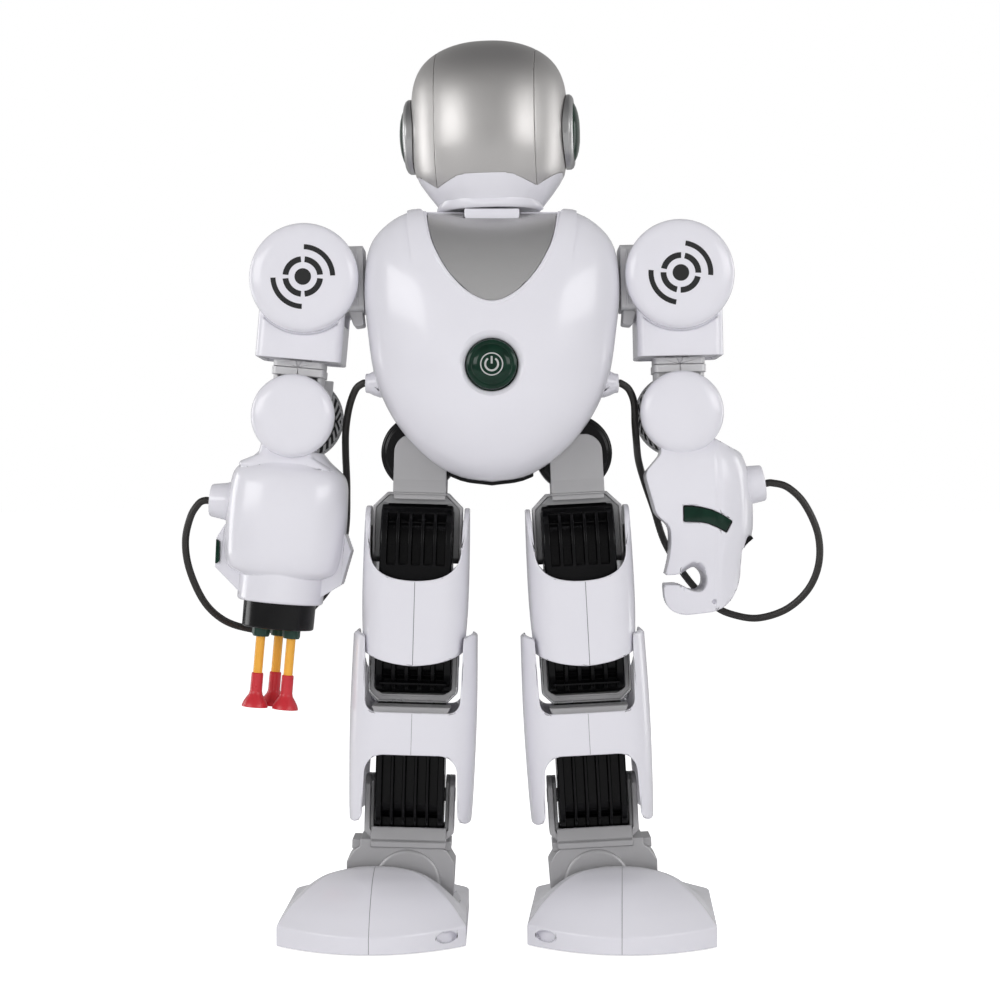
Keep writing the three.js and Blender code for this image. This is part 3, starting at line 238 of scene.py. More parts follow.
WHITE = (1, 1, 1, 1)
world = bpy.data.worlds.new("studio")
world.use_nodes = True
scene.world = world
sky = world.node_tree
sky.nodes.clear()
sky_out = add_node(sky, "OutputWorld")
sky_seen = add_node(sky, "Background", {"Color": WHITE, "Strength": 1})
sky_lit = add_node(sky, "Background", {"Strength": 0.4})
sky_mix = add_node(sky, "MixShader")
sky_path = add_node(sky, "LightPath")
sky_coord = add_node(sky, "TexCoord")
sky_split = add_node(sky, "SeparateXYZ")
sky_ramp = add_node(sky, "ValToRGB")
sky_low, sky_high = sky_ramp.color_ramp.elements
sky_low.position = 0.45
sky_low.color = WHITE
sky_high.position = 0.95
sky_high.color = (0.34, 0.34, 0.35, 1)
wire(
    sky,
    (sky_coord.outputs["Generated"], sky_split.inputs[0]),
    (sky_split.outputs["Z"], sky_ramp.inputs["Fac"]),
    (sky_ramp.outputs["Color"], sky_lit.inputs["Color"]),
    (sky_path.outputs["Is Camera Ray"], sky_mix.inputs["Fac"]),
    (sky_lit.outputs[0], sky_mix.inputs[1]),
    (sky_seen.outputs[0], sky_mix.inputs[2]),
    (sky_mix.outputs[0], sky_out.inputs["Surface"]),
)

floor_mesh = bmesh.new()
bmesh.ops.create_grid(floor_mesh, x_segments=1, y_segments=1, size=30)
floor_data = bpy.data.meshes.new("floor")
floor_mesh.to_mesh(floor_data)
floor_mesh.free()
floor = bpy.data.objects.new("floor", floor_data)
floor.location.z = -0.0003
scene.collection.objects.link(floor)
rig.stage(floor)
floor_paint = bpy.data.materials.new("pale_floor")
floor_paint.use_nodes = True
tree = floor_paint.node_tree
tree.nodes.clear()
floor_out = add_node(tree, "OutputMaterial")
floor_diffuse = add_node(tree, "BsdfDiffuse", {"Color": (0.9, 0.9, 0.905, 1)})
floor_glow = add_node(tree, "Emission", {"Color": WHITE})
floor_path = add_node(tree, "LightPath")
floor_scale = add_node(tree, "Math", {1: 0.8}, operation="MULTIPLY")
floor_add = add_node(tree, "AddShader")
wire(
    tree,
    (floor_path.outputs["Is Camera Ray"], floor_scale.inputs[0]),
    (floor_scale.outputs[0], floor_glow.inputs["Strength"]),
    (floor_diffuse.outputs[0], floor_add.inputs[0]),
    (floor_glow.outputs[0], floor_add.inputs[1]),
    (floor_add.outputs[0], floor_out.inputs["Surface"]),
)
floor_data.materials.append(floor_paint)

# ------------------------------------------------------------------ hoses
# Two soft black tubes, 3.2 mm thick, from a gland on the torso's side to one on the outer
# side of each forearm. Each is laid in stretches that bend with the arm's joints in turn.
MM = 0.001
ROBOT = Matrix.Scale(MM, 4) @ Matrix.Translation((0, 9, 0))  # the body stands 9 mm back
HOSE_RADIUS = 1.6
HOSE_STRETCH = 0.0315  # metres of hose that take up each joint


def moulded(name, colour, roughness, metallic=0.0, grain=900, bump=0.03, shade=0.03,
            coat=0.0, patches=35, specular=0.5):
    """A paint or plastic with a fine moulded grain, and slight changes of tone and gloss."""
    paint = bpy.data.materials.new(name)
    paint.use_nodes = True
    tree = paint.node_tree
    shader = tree.nodes["Principled BSDF"]
    for socket, value in (("Metallic", metallic), ("Coat Weight", coat),
                          ("Coat Roughness", 0.08), ("Specular IOR Level", specular)):
        shader.inputs[socket].default_value = value
    coord = add_node(tree, "TexCoord")
    fine = add_node(tree, "TexNoise", {"Scale": grain, "Detail": 3})
    broad = add_node(tree, "TexNoise", {"Scale": patches, "Detail": 4})
    low = [c * (1 - shade) for c in colour]
    high = [min(1, c * (1 + shade)) for c in colour]
    tone = add_node(tree, "Mix", {6: (*low, 1), 7: (*high, 1)}, data_type="RGBA")
    gloss = add_node(tree, "MapRange", {"From Min": 0.3, "From Max": 0.7,
                                        "To Min": roughness * 0.85, "To Max": roughness * 1.2})
    relief = add_node(tree, "Bump", {"Strength": bump, "Distance": 0.0004})
    wire(
        tree,
        (coord.outputs["Object"], fine.inputs["Vector"]),
        (coord.outputs["Object"], broad.inputs["Vector"]),
        (broad.outputs["Fac"], tone.inputs["Factor"]),
        (tone.outputs[2], shader.inputs["Base Color"]),
        (broad.outputs["Fac"], gloss.inputs["Value"]),
        (gloss.outputs["Result"], shader.inputs["Roughness"]),
        (fine.outputs["Fac"], relief.inputs["Height"]),
        (relief.outputs["Normal"], shader.inputs["Normal"]),
    )
    return paint


hose_rubber = moulded("hose_rubber", (0.022, 0.02, 0.018), 0.42, grain=1600, bump=0.12, shade=0.2)

# Route of each hose, in millimetres.
HOSE_ROUTES = {
    "left": [
        (-55.5, -6, 237), (-56.4, -6, 236.9), (-59.6, -5, 234.4), (-62.6, -2, 227),
        (-64.6, 4, 217), (-65.2, 11, 206.6), (-65.2, 19, 190), (-66.6, 26, 170),
        (-73, 29.4, 148), (-87, 29.6, 132.6), (-101, 27, 127.4), (-111.6, 21, 128.6),
        (-120.8, 14, 133), (-128.2, 8, 141.6), (-133.6, 3, 155.6), (-135, 1, 168),
        (-132.6, 0, 178.6), (-129, 0, 184.4), (-126.2, 0, 185.8), (-123.85, 0, 185.6),
    ],
    "right": [
        (55.5, -6, 237), (56.4, -6, 236.9), (59.8, -5.4, 234.4), (62.2, -4, 228.6),
        (62.8, -1, 219.6), (63.8, 5, 212), (65.4, 16, 204), (68.4, 23.6, 195),
        (73, 25.6, 182), (78.4, 25.6, 166), (88.7, 22.6, 149.6), (100, 18.6, 138.4),
        (109, 15, 134.4), (119, 10, 133.6), (130.6, 5, 138), (139.6, 2, 147),
        (143.8, 0, 158.6), (143.2, 0, 171.6), (137.4, 0, 184.4), (130, 0, 191.6),
        (123.2, 0, 193.5), (120.45, 0, 193.3),
    ],
}


def curve_through(points, parts=8):
    """Points on a smooth line through the given ones."""
    line = [Vector(p) for p in points]
    ends = [2 * line[0] - line[1], *line, 2 * line[-1] - line[-2]]
    found = []
    for index in range(1, len(ends) - 2):
        before, start, end, after = ends[index - 1:index + 3]
        for part in range(parts):
            t = part / parts
            found.append(0.5 * (
                2 * start + (end - before) * t
                + (2 * before - 5 * start + 4 * end - after) * t ** 2
                + (3 * start - before - 3 * end + after) * t ** 3))
    found.append(line[-1])
    return found


def tube_along(points, radius, sides=20):
    """A round tube swept along points, closed at both ends."""
    bm = bmesh.new()
    ahead = (points[1] - points[0]).normalized()
    turn = Vector((0, 0, 1)).rotation_difference(ahead)
    ring = bmesh.ops.create_circle(bm, cap_ends=True, radius=radius, segments=sides)["verts"]
    bmesh.ops.transform(
        bm, matrix=Matrix.Translation(points[0]) @ turn.to_matrix().to_4x4(), verts=ring)
    edges = list({edge for vert in ring for edge in vert.link_edges})
    for index in range(1, len(points)):
        onward = points[min(index + 1, len(points) - 1)] - points[index - 1]
        made = bmesh.ops.extrude_edge_only(bm, edges=edges)["geom"]
        ring = [item for item in made if isinstance(item, bmesh.types.BMVert)]
        edges = [item for item in made if isinstance(item, bmesh.types.BMEdge)]
        edges = [edge for edge in edges if all(vert in ring for vert in edge.verts)]
        bend = ahead.rotation_difference(onward.normalized()).to_matrix().to_4x4()
        ahead = onward.normalized()
        move = Matrix.Translation(points[index]) @ bend @ Matrix.Translation(-points[index - 1])
        bmesh.ops.transform(bm, matrix=move, verts=ring)
    bmesh.ops.holes_fill(bm, edges=edges)
    bmesh.ops.recalc_face_normals(bm, faces=bm.faces)
    return bm


def add_mesh(bm, name, finish, smooth_below=40):
    """Makes a named object of a finished bmesh, smooth except at its sharp edges."""
    for face in bm.faces:
        face.smooth = True
    for edge in bm.edges:
        edge.smooth = edge.calc_face_angle(0) < math.radians(smooth_below)
    mesh = bpy.data.meshes.new(name)
    bm.to_mesh(mesh)
    bm.free()
    mesh.materials.append(finish)
    piece = bpy.data.objects.new(name, mesh)
    scene.collection.objects.link(piece)
    return piece


def length_of(points):
    """Length of a line of points."""
    return sum((b - a).length for a, b in zip(points, points[1:]))


for side, route in HOSE_ROUTES.items():
    smooth = [ROBOT @ point for point in curve_through(route)]
    bodies = ["torso", *[f"{side}_{part}" for part in (
        "shoulder", "upper_arm", "swivel", "forearm")]]
    cuts = [0]
    for _ in bodies[1:]:
        reach = cuts[-1] + 1
        while length_of(smooth[cuts[-1]:reach + 1]) < HOSE_STRETCH:
            reach += 1
        cuts.append(reach)
    cuts.append(len(smooth) - 1)
    for number, body in enumerate(bodies):
        line = smooth[cuts[number]:cuts[number + 1] + 1]
        bm = tube_along(line, HOSE_RADIUS * MM)
        stretch = add_mesh(bm, f"{side}_hose_{number + 1}", hose_rubber)
        if number < len(bodies) - 1:
            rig.blend(stretch, body, bodies[number + 1], start=line[0], end=line[-1])
        else:
            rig.ride(stretch, body)
        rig.replaces(stretch, f"{side}_hose")
        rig.slot(stretch, "hose")
        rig.cord(
            stretch, exit=line[0], length=length_of(line), diameter=2 * HOSE_RADIUS * MM,
            far_end="object", stiffness="medium", lay="loose", path=line)

# ------------------------------------------------------------------ inner frame
# Black moulded skeleton: a spine with a shoulder beam, and a hip beam with the two round
# housings in which the legs turn. Its rim shows as a dark line below the chest.
def plate(corners, axis, low, high, rounding=5):
    """A flat shape with rounded corners (u, v, radius), given its thickness along an axis."""
    bm = bmesh.new()
    verts = [bm.verts.new((corner[0], corner[1], low)) for corner in corners]
    bm.faces.new(verts)
    rounds = {}
    for vert, corner in zip(verts, corners):
        if len(corner) > 2 and corner[2]:
            rounds.setdefault(corner[2], []).append(vert)
    for radius, group in rounds.items():
        bmesh.ops.bevel(
            bm, geom=group, offset=radius, segments=rounding, profile=0.5, material=-1,
            affect="VERTICES", clamp_overlap=True)
    made = bmesh.ops.extrude_face_region(bm, geom=list(bm.faces))["geom"]
    moved = [item for item in made if isinstance(item, bmesh.types.BMVert)]
    bmesh.ops.translate(bm, vec=(0, 0, high - low), verts=moved)
    return set_along(bm, axis)


def oblong(u0, u1, v0, v1, low_round=0, high_round=0):
    """Corners of a rectangle for plate, its two lower and two upper ones rounded alike."""
    return [(u0, v0, low_round), (u1, v0, low_round), (u1, v1, high_round), (u0, v1, high_round)]


def set_along(bm, axis):
    """Turns a shape drawn over (u, v) with its depth along z to lie across another axis."""
    order = {"x": (2, 0, 1), "y": (0, 2, 1), "z": (0, 1, 2)}[axis]
    matrix = Matrix([[1.0 if order[row] == column else 0.0 for column in range(3)]
                     for row in range(3)]).to_4x4()
    bmesh.ops.transform(bm, matrix=matrix, verts=bm.verts)
    open_edges = [edge for edge in bm.edges if edge.is_boundary]
    if open_edges:
        bmesh.ops.holes_fill(bm, edges=open_edges)
    bmesh.ops.recalc_face_normals(bm, faces=bm.faces)
    return bm


def block(x0, x1, y0, y1, z0, z1):
    """A plain block between two corners."""
    bm = bmesh.new()
    size = Matrix.Diagonal((x1 - x0, y1 - y0, z1 - z0, 1))
    middle = Matrix.Translation(((x0 + x1) / 2, (y0 + y1) / 2, (z0 + z1) / 2))
    bmesh.ops.create_cube(bm, size=1, matrix=middle @ size)
    return bm


def turned(profile, axis="z", centre=(0, 0, 0), steps=64):
    """A shape turned on a lathe: (radius, height) pairs, standing on its axis at the centre.
    Along y the heights run to the front, and -x is the robot's left."""
    bm = bmesh.new()
    verts = [bm.verts.new((radius, 0, height)) for radius, height in profile]
    for start, end in zip(verts, verts[1:]):
        bm.edges.new((start, end))
    bmesh.ops.spin(
        bm, geom=bm.verts[:] + bm.edges[:], cent=(0, 0, 0), axis=(0, 0, 1),
        angle=math.tau, steps=steps, use_merge=True)
    bmesh.ops.remove_doubles(bm, verts=bm.verts, dist=1e-4)
    turn = {
        "z": Matrix.Identity(4),
        "y": Matrix.Rotation(math.radians(90), 4, "X"),
        "x": Matrix.Rotation(math.radians(90), 4, "Y"),
        "-x": Matrix.Rotation(math.radians(-90), 4, "Y"),
    }[axis]
    bmesh.ops.transform(bm, matrix=Matrix.Translation(centre) @ turn, verts=bm.verts)
    bmesh.ops.recalc_face_normals(bm, faces=bm.faces)
    return bm


def bar(axis, radius, low, high, a=0, b=0, steps=64):
    """A round bar along an axis, between two places on it, at (a, b) across it."""
    centre = {"x": (0, a, b), "y": (a, 0, b), "z": (a, b, 0)}[axis]
    if axis == "y":
        low, high = -high, -low
    return turned([(0, low), (radius, low), (radius, high), (0, high)], axis, centre, steps)


def merged(*shapes):
    """Several shapes as the parts of one mesh, each still closed in itself."""
    whole = shapes[0]
    for shape in shapes[1:]:
        mesh = bpy.data.meshes.new("part")
        shape.to_mesh(mesh)
        shape.free()
        whole.from_mesh(mesh)
        bpy.data.meshes.remove(mesh)
    return whole


def carved(body, *tools, way="DIFFERENCE"):
    """One closed shape cut by others, joined with them or kept only inside them."""
    holders = []
    for shape in (body, *tools):
        mesh = bpy.data.meshes.new("carving")
        shape.to_mesh(mesh)
        shape.free()
        holder = bpy.data.objects.new("carving", mesh)
        scene.collection.objects.link(holder)
        holders.append(holder)
    for tool in holders[1:]:
        step = holders[0].modifiers.new("carve", "BOOLEAN")
        step.object = tool
        step.operation = way
        step.solver = "MANIFOLD"
    depsgraph = bpy.context.evaluated_depsgraph_get()
    mesh = bpy.data.meshes.new_from_object(holders[0].evaluated_get(depsgraph))
    result = bmesh.new()
    result.from_mesh(mesh)
    bpy.data.meshes.remove(mesh)
    for holder in holders:
        old = holder.data
        bpy.data.objects.remove(holder)
        bpy.data.meshes.remove(old)
    return result


SHARP = 32  # degrees between two faces, from which an edge is rounded


def placer(body, frame_of, side=""):
    """A function that puts shapes on a body. Where the robot has two of each, the side goes
    before the names of the piece and of what it stands for."""
    prefix = f"{side}_" if side else ""

    def put(bm, name, finish, slot, *stands_for, edge=0.4, steps=2):
        bmesh.ops.remove_doubles(bm, verts=bm.verts, dist=0.01)
        bmesh.ops.transform(bm, matrix=frame_of, verts=bm.verts)
        bmesh.ops.recalc_face_normals(bm, faces=bm.faces)
        piece = add_mesh(bm, prefix + name, finish, SHARP)
        if edge:
            rounding = piece.modifiers.new("edges", "BEVEL")
            rounding.width = edge * MM
            rounding.segments = steps
            rounding.limit_method = "ANGLE"
            rounding.angle_limit = math.radians(SHARP)
            rounding.use_clamp_overlap = False
            rounding.loop_slide = False
            rounding.miter_outer = "MITER_ARC"
        piece.modifiers.new("even", "WEIGHTED_NORMAL").keep_sharp = True
        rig.ride(piece, body)
        if stands_for:
            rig.replaces(piece, *[prefix + node for node in stands_for])
        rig.slot(piece, slot)

    return put


on_torso = placer("torso", ROBOT)
HIP_X = {"left": -31.6, "right": 35.7}
HIP_Z = 206.5
SEAM_Y = -14  # between the chest and the back shell
SHIELD_MIDDLE = 245
SHIELD_HALF = [
    (0, 310.8), (24, 310.8), (36.4, 310.2), (47, 303.6), (53.3, 294), (55.2, 277.4),
    (53.9, 260.5), (50.3, 238), (41.6, 219.4), (28.4, 204.6), (14.5, 196.2), (0, 193.8),
]


def flat_curve(points, parts):
    """Pairs of numbers on a smooth line through the given pairs."""
    return [(p.x, p.y) for p in curve_through([(u, v, 0) for u, v in points], parts)]


def shield_outline(count):
    """The heart-shaped outline of the torso: count points round it, from the top."""
    half = flat_curve(SHIELD_HALF, 12)
    chosen = [half[round(i * (len(half) - 1) / (count // 2))] for i in range(count // 2 + 1)]
    return chosen + [(-x, z) for x, z in reversed(chosen[1:-1])]


SHIELD = shield_outline(96)


def wrapped(around, rows, place):
    """A closed form of a grid that is wrapped round: place sets the points of each row."""
    bm = bmesh.new()
    bmesh.ops.create_grid(bm, x_segments=around, y_segments=rows, size=0.5)
    for vert in bm.verts:
        vert.co = place(vert.co.x + 0.5, round((vert.co.y + 0.5) * rows))
    bmesh.ops.remove_doubles(bm, verts=bm.verts, dist=1e-3)
    bmesh.ops.holes_fill(bm, edges=[edge for edge in bm.edges if edge.is_boundary])
    bmesh.ops.recalc_face_normals(bm, faces=bm.faces)
    return bm


def pillow(way, depth, straight, power, inset=0.0, rows=20, lead=0.0):
    """A pillow over the torso's outline that swells from the seam to the front or the back."""
    around = len(SHIELD)

    def place(share, row):
        angle = max(0, row - 2) / rows * math.pi / 2
        swell = max(0.0, math.cos(angle)) ** (2 / power)
        out = straight + (depth - straight - inset) * math.sin(angle) ** (2 / power)
        if row < 2:
            out = -lead if row == 0 else straight * 0.5
        x, z = SHIELD[round(share * around) % around]
        arm = Vector((x, z - SHIELD_MIDDLE))
        arm = arm * ((arm.length - inset) / arm.length) * swell
        return arm.x, SEAM_Y + way * out, SHIELD_MIDDLE + arm.y

    return wrapped(around, rows + 2, place)


gloss_black = moulded("gloss_black", (0.004, 0.004, 0.0045), 0.2, grain=500, bump=0.02,
                      shade=0.25, specular=0.3)
RIM_TOP, RIM_LOW, RIM_HALF = 211, 180, 18
HOUSING_RADIUS = 16.8
rim = plate([(x * 1.012, SHIELD_MIDDLE + (z - SHIELD_MIDDLE) * 1.03) for x, z in SHIELD],
            "y", SEAM_Y + 0.3, -8.6)
rim = carved(rim, block(-RIM_HALF, RIM_HALF, SEAM_Y, 0, RIM_LOW, RIM_TOP), way="INTERSECT")
housings = [
    turned([(0, -7.5), (14.6, -7.5), (14.9, -7.1), (16.2, -7.1), (HOUSING_RADIUS, -6.5),
            (HOUSING_RADIUS, 6.5), (16.2, 7.1), (14.9, 7.1), (14.6, 7.5), (0, 7.5)],
           "y", (x, 0, HIP_Z))
    for x in HIP_X.values()]
spine = block(-10, 10, -6, 6, 200, 295.7)
shoulder_beam = block(-50, 50, -5.9, 5.9, 274.6, 290.6)
hip_beam = block(*HIP_X.values(), -7.3, 7.3, 201, 213)
rim_tab = block(-12, 12, -13.7, -6.5, 201, 212)
on_torso(merged(spine, shoulder_beam, hip_beam, rim_tab, rim, *housings), "waist_frame",
         gloss_black, "black", "waist_chassis", edge=0.3)

# ------------------------------------------------------------------ electrics
# What the torso holds: a green board with its parts, four wrapped cells in a tray, a can
# motor on the spine and a small speaker behind the chest.
board_green = moulded("board_green", (0.03, 0.16, 0.06), 0.4, grain=2400, bump=0.1, shade=0.3)
cell_wrap = moulded("cell_wrap", (0.07, 0.08, 0.1), 0.3, grain=300, bump=0.02, shade=0.3)
motor_steel = moulded("motor_steel", (0.5, 0.5, 0.51), 0.3, 1.0, grain=1200, bump=0.05)
speaker_cone = moulded("speaker_cone", (0.03, 0.03, 0.032), 0.7, grain=1800, bump=0.2)
for node, finish in (("circuit_board", board_green), ("battery_pack", cell_wrap),
                     ("drive_motor", motor_steel), ("speaker", speaker_cone)):
    for material_slot in frame["nodes"][node].material_slots:
        material_slot.material = finish

# ------------------------------------------------------------------ back shell
# White glossy moulding behind the seam, with a gland for a hose on each side, a battery cover
# with a latch, five vents below it and four screws.
white = moulded("white_shell", (0.80, 0.79, 0.845), 0.2, grain=420, bump=0.012, shade=0.012,
                coat=0.25)
screw_steel = moulded("screw_steel", (0.42, 0.41, 0.4), 0.32, 1.0, grain=1500, bump=0.1,
                      shade=0.15)
WALL = 2.2
BACK = dict(way=1, depth=48, straight=22, power=2.8)
COVER_HALF, COVER_LOW, COVER_HIGH = 27.7, 233, 287
COVER_GAP = 0.3
BACK_GAP = 0.3  # between the back shell and the chest
NECK_ROOM = 12.1  # half the width of the opening for the neck block
SHOULDER_Z = 282.6
GLAND_Y, GLAND_Z = -6, 237


def screw(x, y, z, radius=1.9):
    """A cross-head screw whose face looks to the back."""
    head = turned([(0, -1.2), (radius, -1.2), (radius, 0.1), (radius * 0.82, 0.45), (0, 0.6)],
                  "y", (0, 0, 0), 32)
    slot = radius * 0.62
    head = carved(head, block(-slot, slot, -1, -0.1, -0.26, 0.26),
                  block(-0.26, 0.26, -1, -0.1, -slot, slot))
    turn = Matrix.Rotation(math.radians(180), 4, "Z")
    bmesh.ops.transform(head, matrix=Matrix.Translation((x, y, z)) @ turn, verts=head.verts)
    return head


back_outer = pillow(**BACK)
glands = [
    turned([(0, 0), (6.2, 0), (6.2, 13), (5.4, 15.4), (4.3, 17.6), (4.1, 19.2), (0, 19.2)],
           axis, (sign * 36, GLAND_Y, GLAND_Z), 40)
    for sign, axis in ((-1, "-x"), (1, "x"))]
back_outer = carved(back_outer, *glands, way="UNION")
back_wall = carved(back_outer, pillow(**BACK, inset=WALL, lead=4))
cover = carved(back_wall.copy(), block(-COVER_HALF, COVER_HALF, 12, 60, COVER_LOW, COVER_HIGH),
               way="INTERSECT")
SCREW_PLACES = ((-36, 262), (36, 262), (-24, 219), (24, 219))
screw_holes = [bar("y", 2.5, 22, 60, x, z, 32) for x, z in SCREW_PLACES]
vents = []
for row in range(-2, 3):
    half, middle = 11 - abs(row) * 1.5, 214.4 + row * 2.6
    vents.append(plate(oblong(-half, half, middle - 0.6, middle + 0.6, 0.5, 0.5), "y", 12, 60, 4))
back = carved(
    back_wall,
    plate(oblong(-COVER_HALF - COVER_GAP, COVER_HALF + COVER_GAP, COVER_LOW - COVER_GAP,
                 COVER_HIGH + COVER_GAP, 1, 1), "y", 12, 60),
    *[bar("y", 18.8, -16, 60, x, HIP_Z, 72) for x in HIP_X.values()],
    bar("x", 6, -70, 70, 0, SHOULDER_Z, 32),
    block(-NECK_ROOM, NECK_ROOM, -24, 12.3, 290, 320),
    block(-RIM_HALF - 0.3, RIM_HALF + 0.3, SEAM_Y - 1, -8.3, 180, 212),
    *screw_holes, *vents)
bmesh.ops.translate(back, vec=(0, BACK_GAP, 0), verts=back.verts)
on_torso(back, "back_moulding", white, "white", "back_shell", edge=0.45, steps=3)
bmesh.ops.translate(cover, vec=(0, BACK_GAP, 0), verts=cover.verts)
latch = plate(oblong(-9.4, 9.4, 275.4, 284.8, 2.4, 1), "y", 30, 40, 6)
latch_gap = plate(oblong(-10, 10, 274.8, 287.4, 2.8, 0.4), "y", 20, 60, 6)
latch = carved(latch, pillow(**BACK, inset=0.5), way="INTERSECT")
cover = carved(cover, latch_gap)
on_torso(cover, "battery_door", white, "white", "battery_cover", edge=0.45, steps=3)
on_torso(latch, "battery_latch", white, "white", edge=0.4)
for index, (x, z) in enumerate(SCREW_PLACES):
    head_y = 27.5 if z > 240 else 24.5
    on_torso(screw(x, head_y, z), f"back_screw_{index + 1}", screw_steel, "motor", edge=0)

# ------------------------------------------------------------------ chest shell
# White glossy moulding in front of the seam, with a U neckline in a rounded lip, a raised
# strap over each shoulder that fades into the chest, and a soft dish round the button.
CHEST = dict(way=-1, depth=28, straight=0, power=2.3, rows=28)
CHEST_Y = SEAM_Y - CHEST["depth"]
BUTTON_Z = 243
NECKLINE = [(-28.8, 321), (-28.2, 309), (-25.6, 296), (-19.2, 283.4), (-10, 273.6),
            (0, 269.7), (10, 273.6), (19.2, 283.4), (25.6, 296), (28.2, 309), (28.8, 321)]


def neckline(shrink):
    """The U of the neckline as a tool that runs from the front to the seam."""
    scale = 1 - shrink / NECKLINE[-1][0]
    edge = flat_curve([(x * scale, z + shrink) for x, z in NECKLINE], 10)
    return plate(edge, "y", CHEST_Y - 5, SEAM_Y + 5)


chest_solid = pillow(**CHEST)
STRAP_PIVOT, STRAP_TILT = (0, -37, 286), 2.5
for sign, side in ((-1, "left"), (1, "right")):
    raised = pillow(**CHEST)
    bmesh.ops.rotate(raised, cent=STRAP_PIVOT, verts=raised.verts,
                     matrix=Matrix.Rotation(math.radians(STRAP_TILT), 3, "X"))
    inner = [(x * 1.05, z + 1.2) for x, z in reversed(NECKLINE) if x > 18][1:]
    band = plate([(sign * x, z) for x, z in (
        (33.7, 285), (34.4, 290), (35.6, 298), (36.3, 305), (36.7, 318), *inner, (21, 283))],
        "y", -60, SEAM_Y)
    strap = carved(carved(raised, band, way="INTERSECT"), pillow(**CHEST, inset=WALL))
    on_torso(strap, f"{side}_chest_strap", white, "white", edge=0)
button_well = turned([(11.1, -8), (13.2, -8), (16.6, -1.4), (11.1, -1.4), (11.1, -8)],
                     "y", (0, CHEST_Y, BUTTON_Z), 72)
dish = turned([(0, -9), (11.1, -9), (11.1, -2.6), (11.5, -2), (12.2, -1.4), (13.2, -0.8),
               (14.4, -0.3), (15.6, 0.1), (15.6, 3), (0, 3)], "y", (0, CHEST_Y, BUTTON_Z), 72)
chest = carved(chest_solid, pillow(**CHEST, inset=WALL, lead=2))
chest = carved(chest, button_well, way="UNION")
chest = carved(chest, neckline(0), block(-NECK_ROOM, NECK_ROOM, -24, -12, 290, 320), dish)
on_torso(chest, "chest_moulding", white, "white", "chest_shell", edge=0.5, steps=3)


def on_front(form, points, depth):
    """Points (x, z) laid on a form as it is seen from the front, sunk to a depth."""
    tree = BVHTree.FromBMesh(form)
    found = []
    for x, z in points:
        place, normal, *_ = tree.ray_cast(Vector((x, -80, z)), Vector((0, 1, 0)))
        if place is not None:
            found.append(place - normal * depth)
    return found


BEAD_RADIUS = 1.05
edge_line = flat_curve([(x * 1.025, z - 0.7) for x, z in NECKLINE], 8)
chest_form = pillow(**CHEST)
bead_line = on_front(chest_form, edge_line, 0.75)
chest_form.free()
on_torso(tube_along(bead_line, BEAD_RADIUS), "neckline_bead", white, "white", edge=0)

# ------------------------------------------------------------------ neckline panel
# A separate panel behind the neckline, in grey metallic paint with a fine sparkle.
panel_grey = moulded("panel_grey", (0.57, 0.565, 0.565), 0.4, 0.8, grain=2600, bump=0.16,
                     shade=0.05, patches=1900)
panel = carved(pillow(**CHEST, inset=1), pillow(**CHEST, inset=1 + WALL, lead=2))
panel = carved(panel, block(-NECK_ROOM, NECK_ROOM, -24, -12, 290, 320))
panel = carved(panel, neckline(0.3), way="INTERSECT")
on_torso(panel, "neck_panel", panel_grey, "silver", "neckline_panel", edge=0.3)

# ------------------------------------------------------------------ power button
# A dark green, glassy button on a stem, printed with the usual power sign in a thin ring.
dark_green = moulded("dark_green", (0.004, 0.026, 0.015), 0.12, grain=300, bump=0.01, shade=0.6,
                     patches=160, specular=0.3)
print_grey = moulded("print_grey", (0.5, 0.5, 0.5), 0.45, grain=1500, bump=0.03)
BUTTON_Y = CHEST_Y + 4
button = turned([
    (0, 0), (10.7, 0), (10.7, 3.1), (10.3, 3.9), (9.6, 4.3), (8.9, 4.35), (8.5, 4.2),
    (8.2, 4.4), (7.4, 5.1), (6.2, 5.5), (4.6, 5.72), (2.4, 5.8), (0, 5.8)],
    "y", (0, BUTTON_Y, BUTTON_Z), 96)
stem = bar("y", 2.5, BUTTON_Y - 0.5, -9.8, 0, BUTTON_Z, 32)
placer("button", ROBOT)(merged(button, stem), "button_cap", dark_green, "green", "power_button",
                        edge=0)


def printed_ring(inner, outer, low, high, angle=math.tau, start=0.0, steps=64):
    """A thin flat ring or arc, turned about the axis y, with its heights to the front."""
    bm = bmesh.new()
    verts = [bm.verts.new((radius, -height, 0)) for radius, height in (
        (inner, low), (outer, low), (outer, high), (inner, high))]
    face = bm.faces.new(verts)
    bmesh.ops.rotate(bm, cent=(0, 0, 0), matrix=Matrix.Rotation(-start, 3, "Y"), verts=bm.verts)
    full = angle >= math.tau
    if full:
        bm.faces.remove(face)
    bmesh.ops.spin(bm, geom=bm.verts[:] + bm.edges[:] + bm.faces[:], cent=(0, 0, 0),
                   axis=(0, -1, 0), angle=angle, steps=steps, use_merge=full)
    bmesh.ops.remove_doubles(bm, verts=bm.verts, dist=1e-4)
    bmesh.ops.recalc_face_normals(bm, faces=bm.faces)
    return bm


sign_ring = printed_ring(4.35, 4.85, 5.55, 5.86)
sign_arc = printed_ring(2.3, 3.1, 5.7, 5.9, math.radians(290), math.radians(125))
sign_bar = block(-0.4, 0.4, -5.9, -5.7, 0.2, 3.3)
on_button = placer("button", ROBOT @ Matrix.Translation((0, BUTTON_Y, BUTTON_Z)))
on_button(merged(sign_ring, sign_arc, sign_bar), "power_sign", print_grey, "silver", edge=0)

